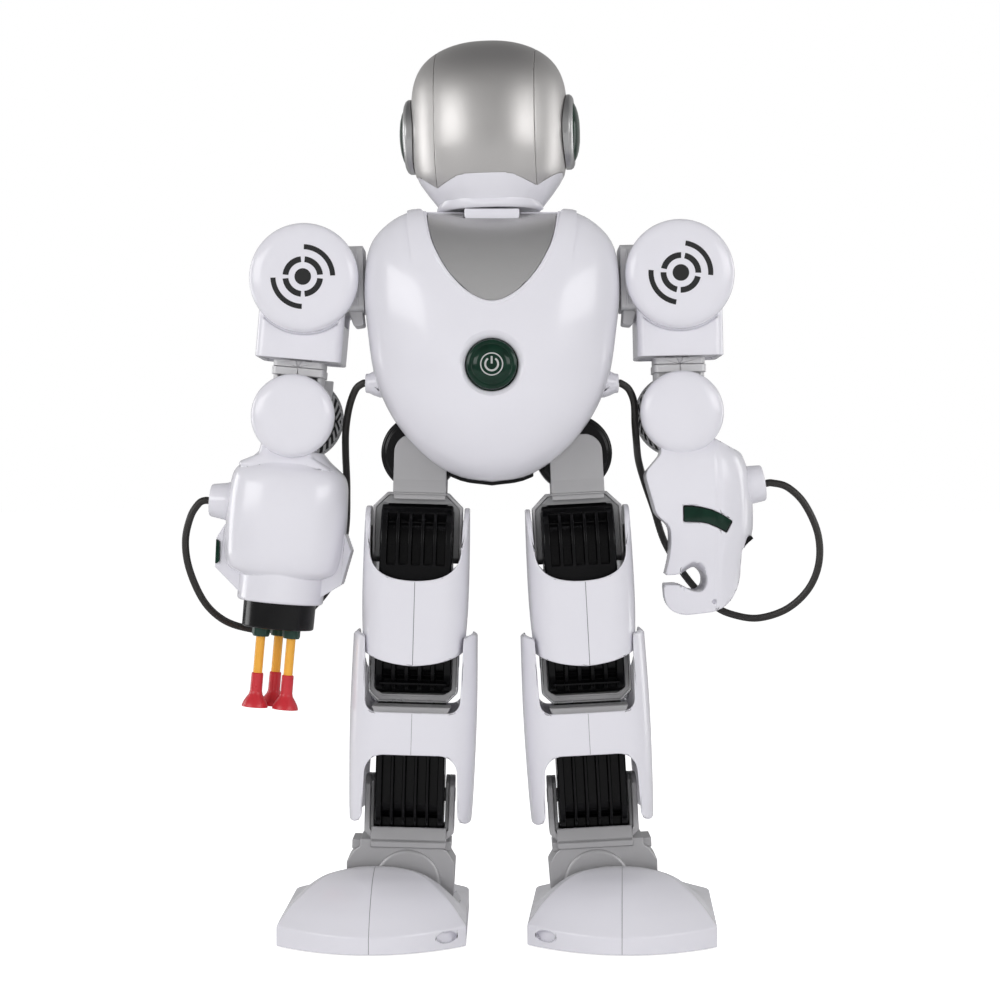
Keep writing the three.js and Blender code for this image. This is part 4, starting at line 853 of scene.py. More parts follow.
# ------------------------------------------------------------------ neck block
# A white block between the shoulders of the two shells, on which the head turns.
NECK_HALF = 11.8
collar_front = plate(oblong(-NECK_HALF, NECK_HALF, 305.6, 311, 2.6), "y", -23.5, -13)
collar_back = block(-NECK_HALF, NECK_HALF, -14, 12, 296, 310.9)
collar = carved(collar_front, collar_back, way="UNION")
collar = carved(collar, bar("z", 7.5, 297, 320, 0, 0, 48))
on_torso(collar, "neck_block", white, "white", "neck_collar", edge=0.5, steps=3)

# ------------------------------------------------------------------ head
# A helmet in satin silver paint with a visor strip down its front, over a white chin with a
# wavy lip, and an ear on each side: a silver ring that holds a dark domed lens.
NECK_Z = 303.7  # height of the point about which the head leans
HEAD_LEAN, HEAD_TURN = 1.2, 4.4
HEAD = (ROBOT @ Matrix.Translation((0, 0, NECK_Z))
        @ Matrix.Rotation(math.radians(-HEAD_LEAN), 4, "Y")
        @ Matrix.Translation((0, 0, -NECK_Z)) @ Matrix.Rotation(math.radians(-HEAD_TURN), 4, "Z"))
on_head = placer("head", HEAD)
HEAD_POWER = 2.3  # how square the head is in plan
# half width, front, back and height of the head's levels, from the chin to the crown
HEAD_LEVELS = [
    (21.5, -24.4, 20.4, 312.2), (24.6, -27.6, 23.6, 316.2), (28.6, -31.6, 28.6, 321.5),
    (32.2, -34.6, 32, 327.5), (33.8, -37.4, 35.2, 337), (34.3, -38, 36.4, 349),
    (34, -36.8, 35.8, 361), (32.4, -33.8, 33.6, 370), (28.4, -28.6, 29, 377),
    (21.4, -21.4, 21.8, 382.2), (11.8, -12, 12.4, 385.5), (0, -0.2, 0.2, 386.4),
]


def level_line(levels, parts=5):
    """Smooth steps between the levels of a form, each of four numbers."""
    first = curve_through([(a, b, c) for a, b, c, _ in levels], parts)
    heights = curve_through([(d, 0, 0) for *_, d in levels], parts)
    return [(max(0.0, p.x), p.y, p.z, h.x) for p, h in zip(first, heights)]


def oval(turn, power):
    """A point of a unit oval that gets squarer as power rises above two."""
    across, along = math.cos(turn), math.sin(turn)
    return (math.copysign(abs(across) ** (2 / power), across),
            math.copysign(abs(along) ** (2 / power), along))


def ringed(rings, power, around):
    """A closed form through oval rings of (half width, middle, half depth, height)."""
    def place(share, row):
        across, along = oval(share * math.tau, power)
        half, middle, depth, z = rings[row]
        return half * across, middle + depth * along, z

    return wrapped(around, len(rings) - 1, place)


CROWN = 12  # height over which an inner form comes down from the outer one


def level_form(levels, power, inset=0.0, around=96, lift=0.0):
    """A closed form through levels, or one that lies inside it by the inset."""
    lowest, highest = levels[0][3], levels[-1][3]
    least = 0.4 if inset else 0.0  # an inner form doesn't close to a line
    rings = []
    for half, front, back, z in levels:
        if inset and z > highest - CROWN:
            z -= inset * ((z - highest + CROWN) / CROWN)
        if inset and z == lowest:
            z += lift
        rings.append((max(least, half - inset), (front + back) / 2,
                      max(least, (back - front) / 2 - inset), z))
    return ringed(rings, power, around)


satin_silver = moulded("satin_silver", (0.60, 0.585, 0.575), 0.42, 0.92, grain=3200, bump=0.08,
                       shade=0.03, patches=2400)
head_lines = level_line(HEAD_LEVELS)
EAR_Z = 346.6
HELMET_EDGE = [(-60, 330.5), (-33, 328.6), (-21.4, 320.4), (-12, 324.4), (-9, 324.9),
               (9, 324.9), (12, 324.4), (21.4, 320.4), (33, 328.6), (60, 330.5)]


def above_helmet_edge(lift):
    """A tool that keeps what lies over the helmet's lower edge."""
    return plate([*[(x, z + lift) for x, z in HELMET_EDGE], (60, 420), (-60, 420)],
                 "y", -60, 60)


def head_shell_form(outer_inset):
    """The head's outer form, hollowed to the wall of the shells."""
    return carved(level_form(head_lines, HEAD_POWER, outer_inset),
                  level_form(head_lines, HEAD_POWER, WALL + 0.2, lift=2.2))


helmet = carved(head_shell_form(0.0), above_helmet_edge(0), way="INTERSECT")
VISOR_HALF = 21.4
visor_room = block(-VISOR_HALF, VISOR_HALF, -60, 0, 300, 420)
visor = carved(helmet.copy(), visor_room, way="INTERSECT")
on_head(visor, "visor_plate", satin_silver, "silver", "face_visor", edge=0.3, steps=3)
helmet = carved(helmet, block(-VISOR_HALF - 0.1, VISOR_HALF + 0.1, -60, 0.1, 300, 420),
                bar("x", 6.3, -60, 60, 0, EAR_Z))
on_head(helmet, "helmet_back", satin_silver, "silver", "head_shell", edge=0.3, steps=3)

chin = carved(head_shell_form(0.35), above_helmet_edge(0.7))
chin = carved(chin, bar("z", 7, 297.7, 314, 0, 0, 48), way="UNION")
on_head(chin, "chin_moulding", white, "white", "chin_shell", edge=0.5, steps=3)
LIP_WAVE = [(0, 313.2), (5, 313.6), (10, 315), (14.4, 315.8), (18, 315.2), (21, 313.4),
            (24, 312.2), (30, 312.2)]
LIP_LOW = 311.5
LIP_RADIUS, LIP_RISE = 2.1, 2.5
LIP_HALF, LIP_REACH, LIP_STEPS = 21.6, 22.6, 72


def lip_height(x):
    """Height of the lip's middle, by distance from the middle of the face."""
    reach = abs(x)
    for (x0, z0), (x1, z1) in zip(LIP_WAVE, LIP_WAVE[1:]):
        if reach <= x1:
            t = (reach - x0) / (x1 - x0)
            return z0 + (z1 - z0) * (3 * t * t - 2 * t ** 3)
    return LIP_WAVE[-1][1]


lip_line = []
for step in range(LIP_STEPS + 1):
    across, along = oval(math.radians(190 + step * 160 / LIP_STEPS), HEAD_POWER)
    lip_line.append(Vector((LIP_HALF * across, -2 + LIP_REACH * along, 0)))
lip = tube_along(lip_line, LIP_RADIUS, 28)
for vert in lip.verts:
    middle = lip_height(vert.co.x)
    rise = vert.co.z / LIP_RADIUS
    vert.co.z = middle + rise * (LIP_RISE if rise > 0 else middle - LIP_LOW)
on_head(lip, "chin_lip", white, "white", edge=0.6, steps=3)

ear_silver = moulded("ear_silver", (0.5, 0.5, 0.5), 0.3, 0.9, grain=2400, bump=0.06, shade=0.03)
for sign, axis, name in ((-1, "-x", "left"), (1, "x", "right")):
    at = (sign * 26.8, 0, EAR_Z)
    ring = turned([
        (12.9, 0), (16.3, 0), (16.3, 4.6), (16, 4.9), (16, 5.2), (16.3, 5.5), (16.3, 8.6),
        (15.6, 9.6), (14.4, 10.2), (13.6, 10.2), (13.3, 9.7), (12.9, 8.6), (12.9, 0)],
        axis, at, 96)
    lens = turned([
        (0, 0.4), (12.6, 0.4), (12.6, 8.8), (13.1, 9.4), (12.4, 10.5), (10.6, 11.4),
        (8.2, 12.1), (5, 12.6), (0, 12.8)], axis, at, 96)
    pin = bar("x", 6, *((-35, -26) if sign < 0 else (26, 35)), 0, EAR_Z, 32)
    ring = carved(ring, level_form(head_lines, HEAD_POWER, -0.3))
    lens = carved(lens, level_form(head_lines, HEAD_POWER, -0.3))
    on_head(ring, f"{name}_ear_ring", ear_silver, "silver", f"{name}_ear", edge=0.2)
    on_head(merged(lens, pin), f"{name}_ear_lens", dark_green, "green", f"{name}_ear", edge=0.15)

# ------------------------------------------------------------------ hip brackets
# Silver-grey mouldings: a rounded plate in front of and behind each hip housing, over a strap
# bent round the thigh block, with a thin rim and a set-back lip in a darker grey that paints
# the shade in its recess.
frame_grey = moulded("frame_grey", (0.43, 0.425, 0.435), 0.36, 0.4, grain=1500, bump=0.05,
                     shade=0.04)
# Painted shade: the set-back lips of the hip and ankle straps take this darker grey for the shade behind their rims.
lip_grey = moulded("lip_grey", (0.26, 0.26, 0.265), 0.4, 0.3, grain=1500, bump=0.06, shade=0.06)
STRAP_HALF = 19.5
CHEEK_LOW, CHEEK_WIDTH = -10.8, 23
THIGH_Z, KNEE_Z, ANKLE_Z, ROLL_Z = 166, 116, 57, 19.5  # heights of the axes below the hip
LEAN = {"left": 1.6, "right": 3.1}
SIGN = {"left": -1, "right": 1}


def turned_about_y(degrees):
    """A turn about the y axis."""
    return Matrix.Rotation(math.radians(degrees), 4, "Y")


def leg_placer(name, part, shift=0):
    """Puts shapes on a part of a leaning leg: x from its axis, heights over the floor."""
    hip = Matrix.Translation((HIP_X[name], 0, HIP_Z))
    leg = ROBOT @ hip @ turned_about_y(-SIGN[name] * LEAN[name])
    leg = leg @ Matrix.Translation((0, 0, -HIP_Z)) @ Matrix.Translation((shift, 0, 0))
    return placer(f"{name}_{part}", leg, name)


def strap_band(way, outer, thick, bar_z, end_z, chamfer, depth):
    """The band of a strap: bent round a block, its bar above (1) or below (-1) the axis."""
    inner = outer - thick
    slope = chamfer - thick * 0.5
    corners = [
        (-outer, end_z), (-inner, end_z), (-inner, bar_z - way * (thick + slope)),
        (-inner + slope, bar_z - way * thick), (inner - slope, bar_z - way * thick),
        (inner, bar_z - way * (thick + slope)), (inner, end_z), (outer, end_z),
        (outer, bar_z - way * chamfer), (outer - chamfer, bar_z),
        (-outer + chamfer, bar_z), (-outer, bar_z - way * chamfer)]
    return plate(corners, "y", -depth, depth)


def strap_pieces(way, thick, rim, bar_z, end_z, axis_z, chamfer, close):
    """Rim and lip of a strap, with round arm ends and a trunnion in each arm."""
    ends = plate(oblong(-9.5, 9.5, end_z, bar_z + way * 9, 7), "x", -30, 30)
    rim_band = carved(strap_band(way, STRAP_HALF, rim, bar_z, end_z, chamfer, 9), ends.copy(),
                      way="INTERSECT")
    lip_band = carved(
        strap_band(way, STRAP_HALF - rim + 0.05, thick + close - rim + 0.05,
                   bar_z - way * (rim - 0.05), end_z, chamfer - rim * 0.45, 7.7),
        ends, way="INTERSECT")
    inner = STRAP_HALF - thick
    pins = merged(bar("x", 3, -inner - 1, -inner + 3.4, 0, axis_z, 32),
                  bar("x", 3, inner - 3.4, inner + 1, 0, axis_z, 32))
    heads = merged(*[turned([(0, 0), (3.4, 0), (3.4, 0.25), (2.8, 0.4), (0, 0.4)], axis,
                            (side * (STRAP_HALF - 0.15), 0, axis_z), 32)
                     for side, axis in ((-1, "-x"), (1, "x"))])
    return rim_band, lip_band, merged(pins, heads)


for name, sign in SIGN.items():
    on_hip = leg_placer(name, "hip")
    bar_top = HIP_Z - HOUSING_RADIUS - 0.4
    low_x, high_x = CHEEK_LOW, CHEEK_LOW + CHEEK_WIDTH
    cheeks = [plate(oblong(low_x, high_x, bar_top - 1, HIP_Z + 8, 0, 8), "y", low_y, low_y + 5, 8)
              for low_y in (-13.2, 8.2)]
    feet = [plate([(y * 8.3, bar_top - 0.2), (y * 13.9, bar_top - 0.2), (y * 13.9, bar_top + 1),
                   (y * 13.15, bar_top + 5.8), (y * 8.3, bar_top + 5.8)], "x", low_x, high_x)
            for y in (-1, 1)]
    rim_band, lip_band, pins = strap_pieces(1, 3.2, 1.3, bar_top, 158.5, THIGH_Z, 6.3, 0.5)
    bridge = block(low_x + 0.3, high_x - 0.3, -12, 12, bar_top - 3.1, bar_top - 0.1)
    axles = merged(bar("y", 3, -9, -4.8, 0, HIP_Z, 24), bar("y", 3, 4.8, 9, 0, HIP_Z, 24))
    eaves = merged(*[plate([(-12.2, bar_top - 1.4), (-15.4, bar_top - 4.4), (-13, bar_top - 5),
                            (13, bar_top - 5), (15.4, bar_top - 4.4), (12.2, bar_top - 1.4)],
                           "y", *span) for span in ((-9, -8.3), (8.3, 9))])
    on_hip(merged(*cheeks, *feet, bridge, axles, rim_band), "hip_plates", frame_grey, "grey",
           "hip_bracket", edge=0.35)
    # The lip, its pins and the eaves take the darker grey of painted shade.
    on_hip(merged(lip_band, pins, eaves), "hip_lip", lip_grey, "grey", edge=0.2)

# ------------------------------------------------------------------ ribbed joint blocks
# Glossy black blocks that turn in the straps: a barrel with rounded ends and five upright
# slots in front and behind. The first carries the thigh shell, the knee's hangs under it and
# the ankle's closes the shin.
joint_black = moulded("joint_black", (0.0035, 0.0035, 0.004), 0.2, grain=700, bump=0.03,
                      shade=0.3, specular=0.2)
SLOTS, SLOT_WIDTH, SLOT_DEPTH = 5, 3.9, 5.2


def ribbed_block(half, radius, axis_z, seat_z, slot_end, cover, lines=()):
    """A barrel block across x, seated at one side, with five slots front and back that reach
    from slot_end round the barrel as far as the angle of its cover."""
    up = 1 if axis_z > seat_z else -1
    arc = [(radius * math.cos(math.radians(a)), axis_z + up * radius * math.sin(math.radians(a)))
           for a in range(0, 181, 6)]
    body = plate([*arc, (-radius, seat_z), (radius, seat_z)], "x", -half, half)
    ends = [edge for edge in body.edges if all(abs(vert.co.x) > half - 0.01 for vert in edge.verts)
            and not all(abs(vert.co.z - seat_z) < 0.01 for vert in edge.verts)]
    bmesh.ops.bevel(body, geom=ends, offset=3.2, segments=5, profile=0.5, material=-1,
                    affect="EDGES", clamp_overlap=True)
    floor_radius = radius - SLOT_DEPTH
    sweep = [(floor_radius * math.cos(math.radians(a)),
              axis_z + up * floor_radius * math.sin(math.radians(a)))
             for a in range(0, cover + 1, 5)]
    beyond = [((radius + 6) * math.cos(math.radians(cover + 4)),
               axis_z + up * (radius + 6) * math.sin(math.radians(cover + 4))),
              (radius + 6, axis_z), (radius + 6, slot_end), (floor_radius, slot_end)]
    pitch = (2 * half - 3 + SLOT_WIDTH) / (SLOTS + 1)
    tools = []
    for number in range(SLOTS):
        start = -half + 1.5 + (number + 1) * pitch - SLOT_WIDTH
        for way in (-1, 1):
            outline = [(way * y, z) for y, z in (*sweep, *beyond)]
            tools.append(plate(outline, "x", start, start + SLOT_WIDTH))
    body = carved(body, merged(*tools))
    deep = floor_radius + 2.2
    crossbars = [block(-half + 2, half - 2, way * deep - 0.8, way * deep + 0.8, z - 0.55, z + 0.55)
                 for z in lines for way in (-1, 1)]
    return merged(body, *crossbars)


for name in SIGN:
    on_thigh, on_shin = leg_placer(name, "thigh"), leg_placer(name, "shin")
    thigh = ribbed_block(15.6, 19.5, THIGH_Z, 143, 158, cover=46)
    thigh = merged(thigh, block(-15.6, 15.6, -25.4, 23.4, 131, 143.4))
    on_thigh(thigh, "thigh_ribs", joint_black, "black", "thigh_block", edge=0.3)
    knee = ribbed_block(16.6, 15, KNEE_Z, 123, 121, cover=62, lines=(106.2,))
    knee = merged(knee, block(-12, 12, -14, 14, 120, 130.7))
    on_thigh(knee, "knee_ribs", joint_black, "black", "knee_block", edge=0.3)
    ankle = ribbed_block(14.9, 15.8, ANKLE_Z, 79, 78.5, cover=74)
    ankle = merged(ankle, block(-14.9, 14.9, -11, 11, 78, 97.5),
                   block(-14.9, 14.9, -24.4, 22.4, 80, 90))
    on_shin(ankle, "ankle_ribs", joint_black, "black", "ankle_block", edge=0.3)

# ------------------------------------------------------------------ thigh shells
# White glossy sleeves with a deep U at the top front and back, a fine moulding seam down the
# middle drawn as a thin strip of painted shade, and dark grey sheets of painted shade lining the
# inner faces of the tall wings beside the strap.
# Painted shade: a warm dark grey for sheets that line the inner faces of the thigh wings, where the wings shade
# themselves.
plate_grey = moulded("plate_grey", (0.13, 0.12, 0.118), 0.5, 0.1, grain=1800, bump=0.08,
                     shade=0.08)
# Painted shade: a dark grey for the thin strips that stand in for the shadow in the grooves of the moulding seams.
seam_grey = moulded("seam_grey", (0.14, 0.14, 0.15), 0.5, grain=1500, bump=0.05, shade=0.1)
SEAM_X = {"left": 0.3, "right": 1.2}
SEAM_PROUD = 0.03
SLEEVE_POWER = 4.2


def bend(start, pull, end, parts=10):
    """Points on a curve from start to end, drawn towards a third point."""
    start, pull, end = Vector(start), Vector(pull), Vector(end)
    return [tuple((1 - t) ** 2 * start + 2 * t * (1 - t) * pull + t ** 2 * end)
            for t in [part / parts for part in range(parts + 1)]]


def sleeve(levels, front, back, inset=0.0, reach=0.0):
    """A squarish tube through (height, half width) levels; an inset one reaches past its ends."""
    lines = level_line([(half, front, back, z) for z, half in levels], 4)
    if inset:
        lines = [(lines[0][0], front, back, lines[0][3] - reach), *lines,
                 (lines[-1][0], front, back, lines[-1][3] + reach)]
    rings = [(half - inset, (near + far) / 2, (far - near) / 2 - inset, z)
             for half, near, far, z in lines]
    return ringed(rings, SLEEVE_POWER, 72)


def sleeve_wall(levels, front, back, reach, *views):
    """A sleeve's wall, trimmed to outlines of (corners, axis, rounding)."""
    wall = carved(sleeve(levels, front, back), sleeve(levels, front, back, WALL, reach))
    for corners, axis, rounding in views:
        wall = carved(wall, plate(corners, axis, -40, 40, rounding), way="INTERSECT")
    return wall


def sleeve_seam(levels, front, back, reach, x, half, low, high):
    """Hair-thin grey strips of painted shade that draw the moulding seam's groove on a sleeve, in front and behind."""
    skin = carved(sleeve(levels, front, back, -SEAM_PROUD),
                  sleeve(levels, front, back, 0.3, reach))
    return carved(skin, block(x - half, x + half, -40, 40, low, high), way="INTERSECT")


THIGH_LEVELS = [(109, 20.4), (122, 22), (140, 23), (165, 23), (190, 22.4)]
THIGH_FRONT, THIGH_BACK = -28, 26
THIGH = (THIGH_LEVELS, THIGH_FRONT, THIGH_BACK, 8)
for name in SIGN:
    on_thigh = leg_placer(name, "thigh")
    front_view = [
        *bend((-30, 127), (-20, 116), (0, 115)), *bend((0, 115), (20, 116), (30, 127))[1:],
        (30, 200), (20.6, 200), *bend((19.6, 163.4), (18.4, 151.4), (0, 151.4)),
        *bend((0, 151.4), (-18.4, 151.4), (-19.6, 163.4))[1:], (-20.6, 200), (-30, 200)]
    side_view = [
        (THIGH_FRONT - 1, 100), (-8, 100), (4, 124, 4), (THIGH_BACK + 1, 137.5, 4),
        (THIGH_BACK + 1, 155.4, 10), (12, 183, 9), (-13, 183, 9), (THIGH_FRONT - 1, 155.4, 10)]
    wall = sleeve_wall(*THIGH, (front_view, "y", 5), (side_view, "x", 8))
    # The seam is a dark strip standing proud of the sleeve: painted shade for its groove.
    line = sleeve_seam(*THIGH, SEAM_X[name], 0.13, 115.4, 151)
    on_thigh(line, "thigh_seam", seam_grey, "white", edge=0)
    on_thigh(wall, "thigh_sleeve", white, "white", "thigh_shell", edge=0.6, steps=3)
    # Dark sheets on the inner faces of the wings beside the strap: painted shade of the wings' inner walls.
    inner = [plate([(sign * x, z) for x, z in (
        (20.85, 174.6), (20.85, 149), (15.9, 149), (15.9, 153.4), (19.85, 155.6), (19.85, 173.4))],
        "y", -12.5, 12.5) for sign in (-1, 1)]
    on_thigh(merged(*inner), "thigh_liners", plate_grey, "grey", edge=0.25)

# ------------------------------------------------------------------ knee straps
# Bright silver straps round the knee blocks, over a grey ledge at the top of the shin.
bright_silver = moulded("bright_silver", (0.62, 0.62, 0.63), 0.26, 0.7, grain=1300, bump=0.04,
                        shade=0.04)
KNEE_BAR = 97.8
for name in SIGN:
    on_shin = leg_placer(name, "shin")
    rim_band, lip_band, pins = strap_pieces(-1, 2.2, 0.9, KNEE_BAR, 122.5, KNEE_Z, 4.4, 0.5)
    on_shin(rim_band, "knee_band", bright_silver, "bright", "knee_strap", edge=0.3)
    window = carved(
        plate(oblong(-17.2, 17.2, 99.6, 121, 3, 1), "y", -7.4, 7.4),
        plate(oblong(-15.4, 15.4, 101.2, 123, 2.6), "y", -9, 9),
        bar("x", 15.6, -30, 30, 0, KNEE_Z))
    # The set-back lip, pins and window take the darker frame grey against the bright band: painted shade for the lip's
    # recess.
    on_shin(merged(lip_band, pins, window), "knee_lip", frame_grey, "bright", edge=0.2)
    ledge = plate([(-17, 97.4), (-14.6, 92), (14.6, 92), (17, 97.4)], "y", -24.4, -11.2)
    on_shin(ledge, "knee_ledge", frame_grey, "grey", edge=0.5)

# ------------------------------------------------------------------ shin shells
# White glossy H-shaped sleeves: two tall wings joined by a band in front and behind, with a
# fine seam down the middle of the band, drawn as a thin strip of painted shade.
SHIN_LEVELS = [(42, 26.2), (60, 27.1), (95, 27.6), (133, 26.8)]
SHIN_FRONT, SHIN_BACK = -27, 25
SHIN_LOW = 47.2
SHIN = (SHIN_LEVELS, SHIN_FRONT, SHIN_BACK, 7)
for name, sign in SIGN.items():
    on_shin = leg_placer(name, "shin", -0.6 * sign)
    front_view = [
        (-40, SHIN_LOW), (-20.6, SHIN_LOW, 4), (-19.6, 76.8, 7.7), (19.6, 76.8, 7.7),
        (20.6, SHIN_LOW, 4), (40, SHIN_LOW), (40, 108), (27.1, 119), (27.1, 129, 3),
        (21.2, 129, 2.4), (20.2, 95, 4.7), (-20.2, 95, 4.7), (-21.2, 129, 2.4), (-27.1, 129, 3),
        (-27.1, 119), (-40, 108)]
    side_view = [
        (SHIN_FRONT - 1, SHIN_LOW, 9), (SHIN_BACK + 1, SHIN_LOW, 9), (SHIN_BACK + 1, 96.5, 12),
        (10, 129, 9), (-17, 129, 6), (SHIN_FRONT - 1, 126.4, 7)]
    wall = sleeve_wall(*SHIN, (front_view, "y", 8), (side_view, "x", 8))
    # The seam is a dark strip standing proud of the sleeve: painted shade for its groove.
    line = sleeve_seam(*SHIN, 0, 0.08, 77.2, 94.6)
    on_shin(line, "shin_seam", seam_grey, "white", edge=0)
    on_shin(wall, "shin_sleeve", white, "white", "shin_shell", edge=0.6, steps=3)

# ------------------------------------------------------------------ ankle brackets
# Silver-grey mouldings: a strap round the ankle block over a flared plate, with a round end
# that turns in the foot.
ANKLE_BAR = 36.8
FLARE_SHIFT = 3  # how far outwards the flared plate sits from the ankle's axis
for name, sign in SIGN.items():
    on_ankle = leg_placer(name, "ankle")
    rim_band, lip_band, pins = strap_pieces(-1, 3.4, 2.5, ANKLE_BAR, 65.5, ANKLE_Z, 4.4, 0.6)
    out = sign * FLARE_SHIFT
    flare = plate([
        (out - 18, ANKLE_BAR + 1.4), (out - 18, ANKLE_BAR - 1.8), (out - 20.4, ANKLE_BAR - 3.6),
        (out - 23.6, 28.2), (out - 23.2, 14.4), (out + 23.2, 14.4), (out + 23.6, 28.2),
        (out + 20.4, ANKLE_BAR - 3.6), (out + 18, ANKLE_BAR - 1.8), (out + 18, ANKLE_BAR + 1.4)],
        "y", -11, 11)
    apron = plate([(-9.2, ANKLE_BAR + 6.6), (-11, ANKLE_BAR + 1.2), (-12.2, ANKLE_BAR + 0.6),
                   (-12.2, ANKLE_BAR - 2), (12.2, ANKLE_BAR - 2), (12.2, ANKLE_BAR + 0.6),
                   (11, ANKLE_BAR + 1.2), (9.2, ANKLE_BAR + 6.6)], "x", -16.4, 16.4)
    apron = carved(apron, block(-20, 20, -8.9, 8.9, ANKLE_BAR - 4, ANKLE_BAR + 8))
    shoulders = [block(out + side * 19 - 2.6, out + side * 19 + 2.6, -8.4, 8.4, 33.4, 37.6)
                 for side in (-1, 1)]
    ball = turned([(0, -12), (13.6, -12), (14.5, -11.4), (14.5, 11.4), (13.6, 12), (0, 12)],
                  "y", (0, 0, ROLL_Z), 72)
    studs = bar("y", 3, -15.4, 15.4, 0, ROLL_Z, 24)
    on_ankle(merged(rim_band, flare, apron, *shoulders, ball, studs), "ankle_plate", frame_grey,
             "grey", "ankle_bracket", edge=0.4)
    # The lip and its pins take the darker grey of painted shade for the lip's recess.
    on_ankle(merged(lip_band, pins), "ankle_lip", lip_grey, "grey", edge=0.25)

# ------------------------------------------------------------------ feet
# White glossy overshoes: a low wall with a bowed toe and a round heel under a dome, with a
# seam along the middle drawn as a thin strip of painted shade, and a round socket near the
# inner toe, on a grey sole plate.
FOOT_HALF, TOE_Y, TOE_CORNER_Y, HEEL_Y, HEEL_CORNER_Y, PEAK_Y = 39.5, -68, -50, 50, 34, -10
# share of the outline, and height over the floor
DOME = [(1, 8.8), (0.95, 11.4), (0.85, 16.4), (0.7, 21.8), (0.5, 26.4), (0.2, 29), (0, 29.5)]


def foot_outline(share):
    """A point of the foot's outline: share runs from 0 at the toe round to 1."""
    turn = share * 2 if share <= 0.5 else (1 - share) * 2
    way = 1 if share <= 0.5 else -1
    if turn < 0.42:
        t = turn / 0.42
        return way * FOOT_HALF * t, TOE_Y + (TOE_CORNER_Y - TOE_Y) * t ** 2
    if turn < 0.7:
        t = (turn - 0.42) / 0.28
        return way * FOOT_HALF, TOE_CORNER_Y + (HEEL_CORNER_Y - TOE_CORNER_Y) * t
    angle = (turn - 0.7) / 0.3 * math.pi / 2
    return (way * FOOT_HALF * max(0, math.cos(angle)) ** 0.8,
            HEEL_CORNER_Y + (HEEL_Y - HEEL_CORNER_Y) * math.sin(angle) ** 0.8)


def foot_form(inset=0.0):
    """The closed form of a foot, from its rim on the floor to the top of its dome."""
    rows = [(1.0, -1.0 if inset else 0.4), (1.0, 4.0)]
    rows += [(max(0, scale), z) for scale, z in flat_curve(DOME, 4)]
    shrink = 1 - inset / FOOT_HALF

    def place(share, row):
        x, y = foot_outline(share % 1.0)
        scale, z = rows[row]
        toe = (1 - abs(x / FOOT_HALF)) * (y < TOE_CORNER_Y) * (row > 1)
        dip = 1.6 * toe * max(0, 1 - (1 - scale) * 9)
        y = PEAK_Y + (y - PEAK_Y) * scale * shrink
        back = min(1, max(0, (y + 26) / 50))
        narrow = 1 - 0.28 * back * min(1, (1 - scale) / 0.15)
        fall = 0.35 * back * max(0, z - 8)
        lower = inset if row > 1 else 0
        return x * scale * shrink * narrow, y, z - dip - lower - fall

    return wrapped(200, len(rows) - 1, place)


FOOT_X = {"left": -50.1, "right": 53.7}
FOOT_YAW = {"left": 0, "right": -3.4}  # about a point near the toe
PIVOT_Y = -60
sole_grey = moulded("sole_grey", (0.22, 0.22, 0.225), 0.55, grain=2200, bump=0.25, shade=0.1)
for name, sign in SIGN.items():
    ankle_x = HIP_X[name] + sign * (HIP_Z - ROLL_Z) * math.sin(math.radians(LEAN[name]))
    middle = FOOT_X[name] - ankle_x
    ground = (ROBOT @ Matrix.Translation((FOOT_X[name], PIVOT_Y, 0))
              @ Matrix.Rotation(math.radians(FOOT_YAW[name]), 4, "Z")
              @ Matrix.Translation((0, -PIVOT_Y, 0)))
    on_foot = placer(f"{name}_foot", ground, name)
    out = sign * FLARE_SHIFT - middle
    well = plate(oblong(out - 25.6, out + 25.6, -17.2, 17.2, 3, 3), "z", 10.5, 60)
    socket = bar("y", 1, -80, -44, 0, 0, 48)
    bmesh.ops.scale(socket, vec=(4.1, 1, 2.4), verts=socket.verts)
    bmesh.ops.translate(socket, vec=(-sign * 31.6, 0, 5.3), verts=socket.verts)
    socket = carved(socket, foot_form(WALL - 0.35))
    # The seam along the toe is a dark strip standing proud of the shell: painted shade for its groove.
    line = carved(carved(foot_form(-SEAM_PROUD), foot_form(0.25)),
                  block(-0.1, 0.1, -80, -16, 0.8, 40), way="INTERSECT")
    on_foot(line, "foot_seam", seam_grey, "white", edge=0)
    shell = carved(foot_form(), foot_form(WALL), well, socket)
    on_foot(shell, "overshoe", white, "white", "foot_shell", edge=0.5, steps=3)
    edge_line = [foot_outline(step / 120) for step in range(120)]
    sole = plate([(x * 0.945, PEAK_Y + (y - PEAK_Y) * 0.955) for x, y in edge_line], "z", 0, 2.9)
    treads = [block(-42, 42, y - 1.1, y + 1.1, -2, 0.7) for y in range(-54, 46, 9)]
    sole = carved(sole, *treads)
    on_foot(sole, "tread", sole_grey, "grey", "sole_plate", edge=0.2)

# ------------------------------------------------------------------ shoulder brackets
# Grey mouldings that turn on the torso: a banded block beside the torso, a neck, and a round
# hub on which the arm lifts.
swivel_grey = moulded("swivel_grey", (0.62, 0.615, 0.625), 0.36, 0.25, grain=1500, bump=0.05,
                      shade=0.04)
SHOULDER_X, HUB_X = 48, 33
SHOULDER_TILT = 1.5
HANG = {"left": 5.0, "right": 1.2}
ARM_LENGTH = 59.5


def shoulder_frame(name):
    """Where a shoulder bracket turns on the torso."""
    return (ROBOT @ Matrix.Translation((SIGN[name] * SHOULDER_X, 0, SHOULDER_Z))
            @ turned_about_y(-SHOULDER_TILT))


def arm_frame(name):
    """The upper arm's frame: its origin on the hub, the arm hanging along -z."""
    return (shoulder_frame(name) @ Matrix.Translation((SIGN[name] * HUB_X, 0, 0))
            @ turned_about_y(SHOULDER_TILT - SIGN[name] * HANG[name]))


def elbow_frame(name):
    """The forearm's frame: its origin on the elbow's axis."""
    return arm_frame(name) @ Matrix.Translation((0, 0, -ARM_LENGTH))


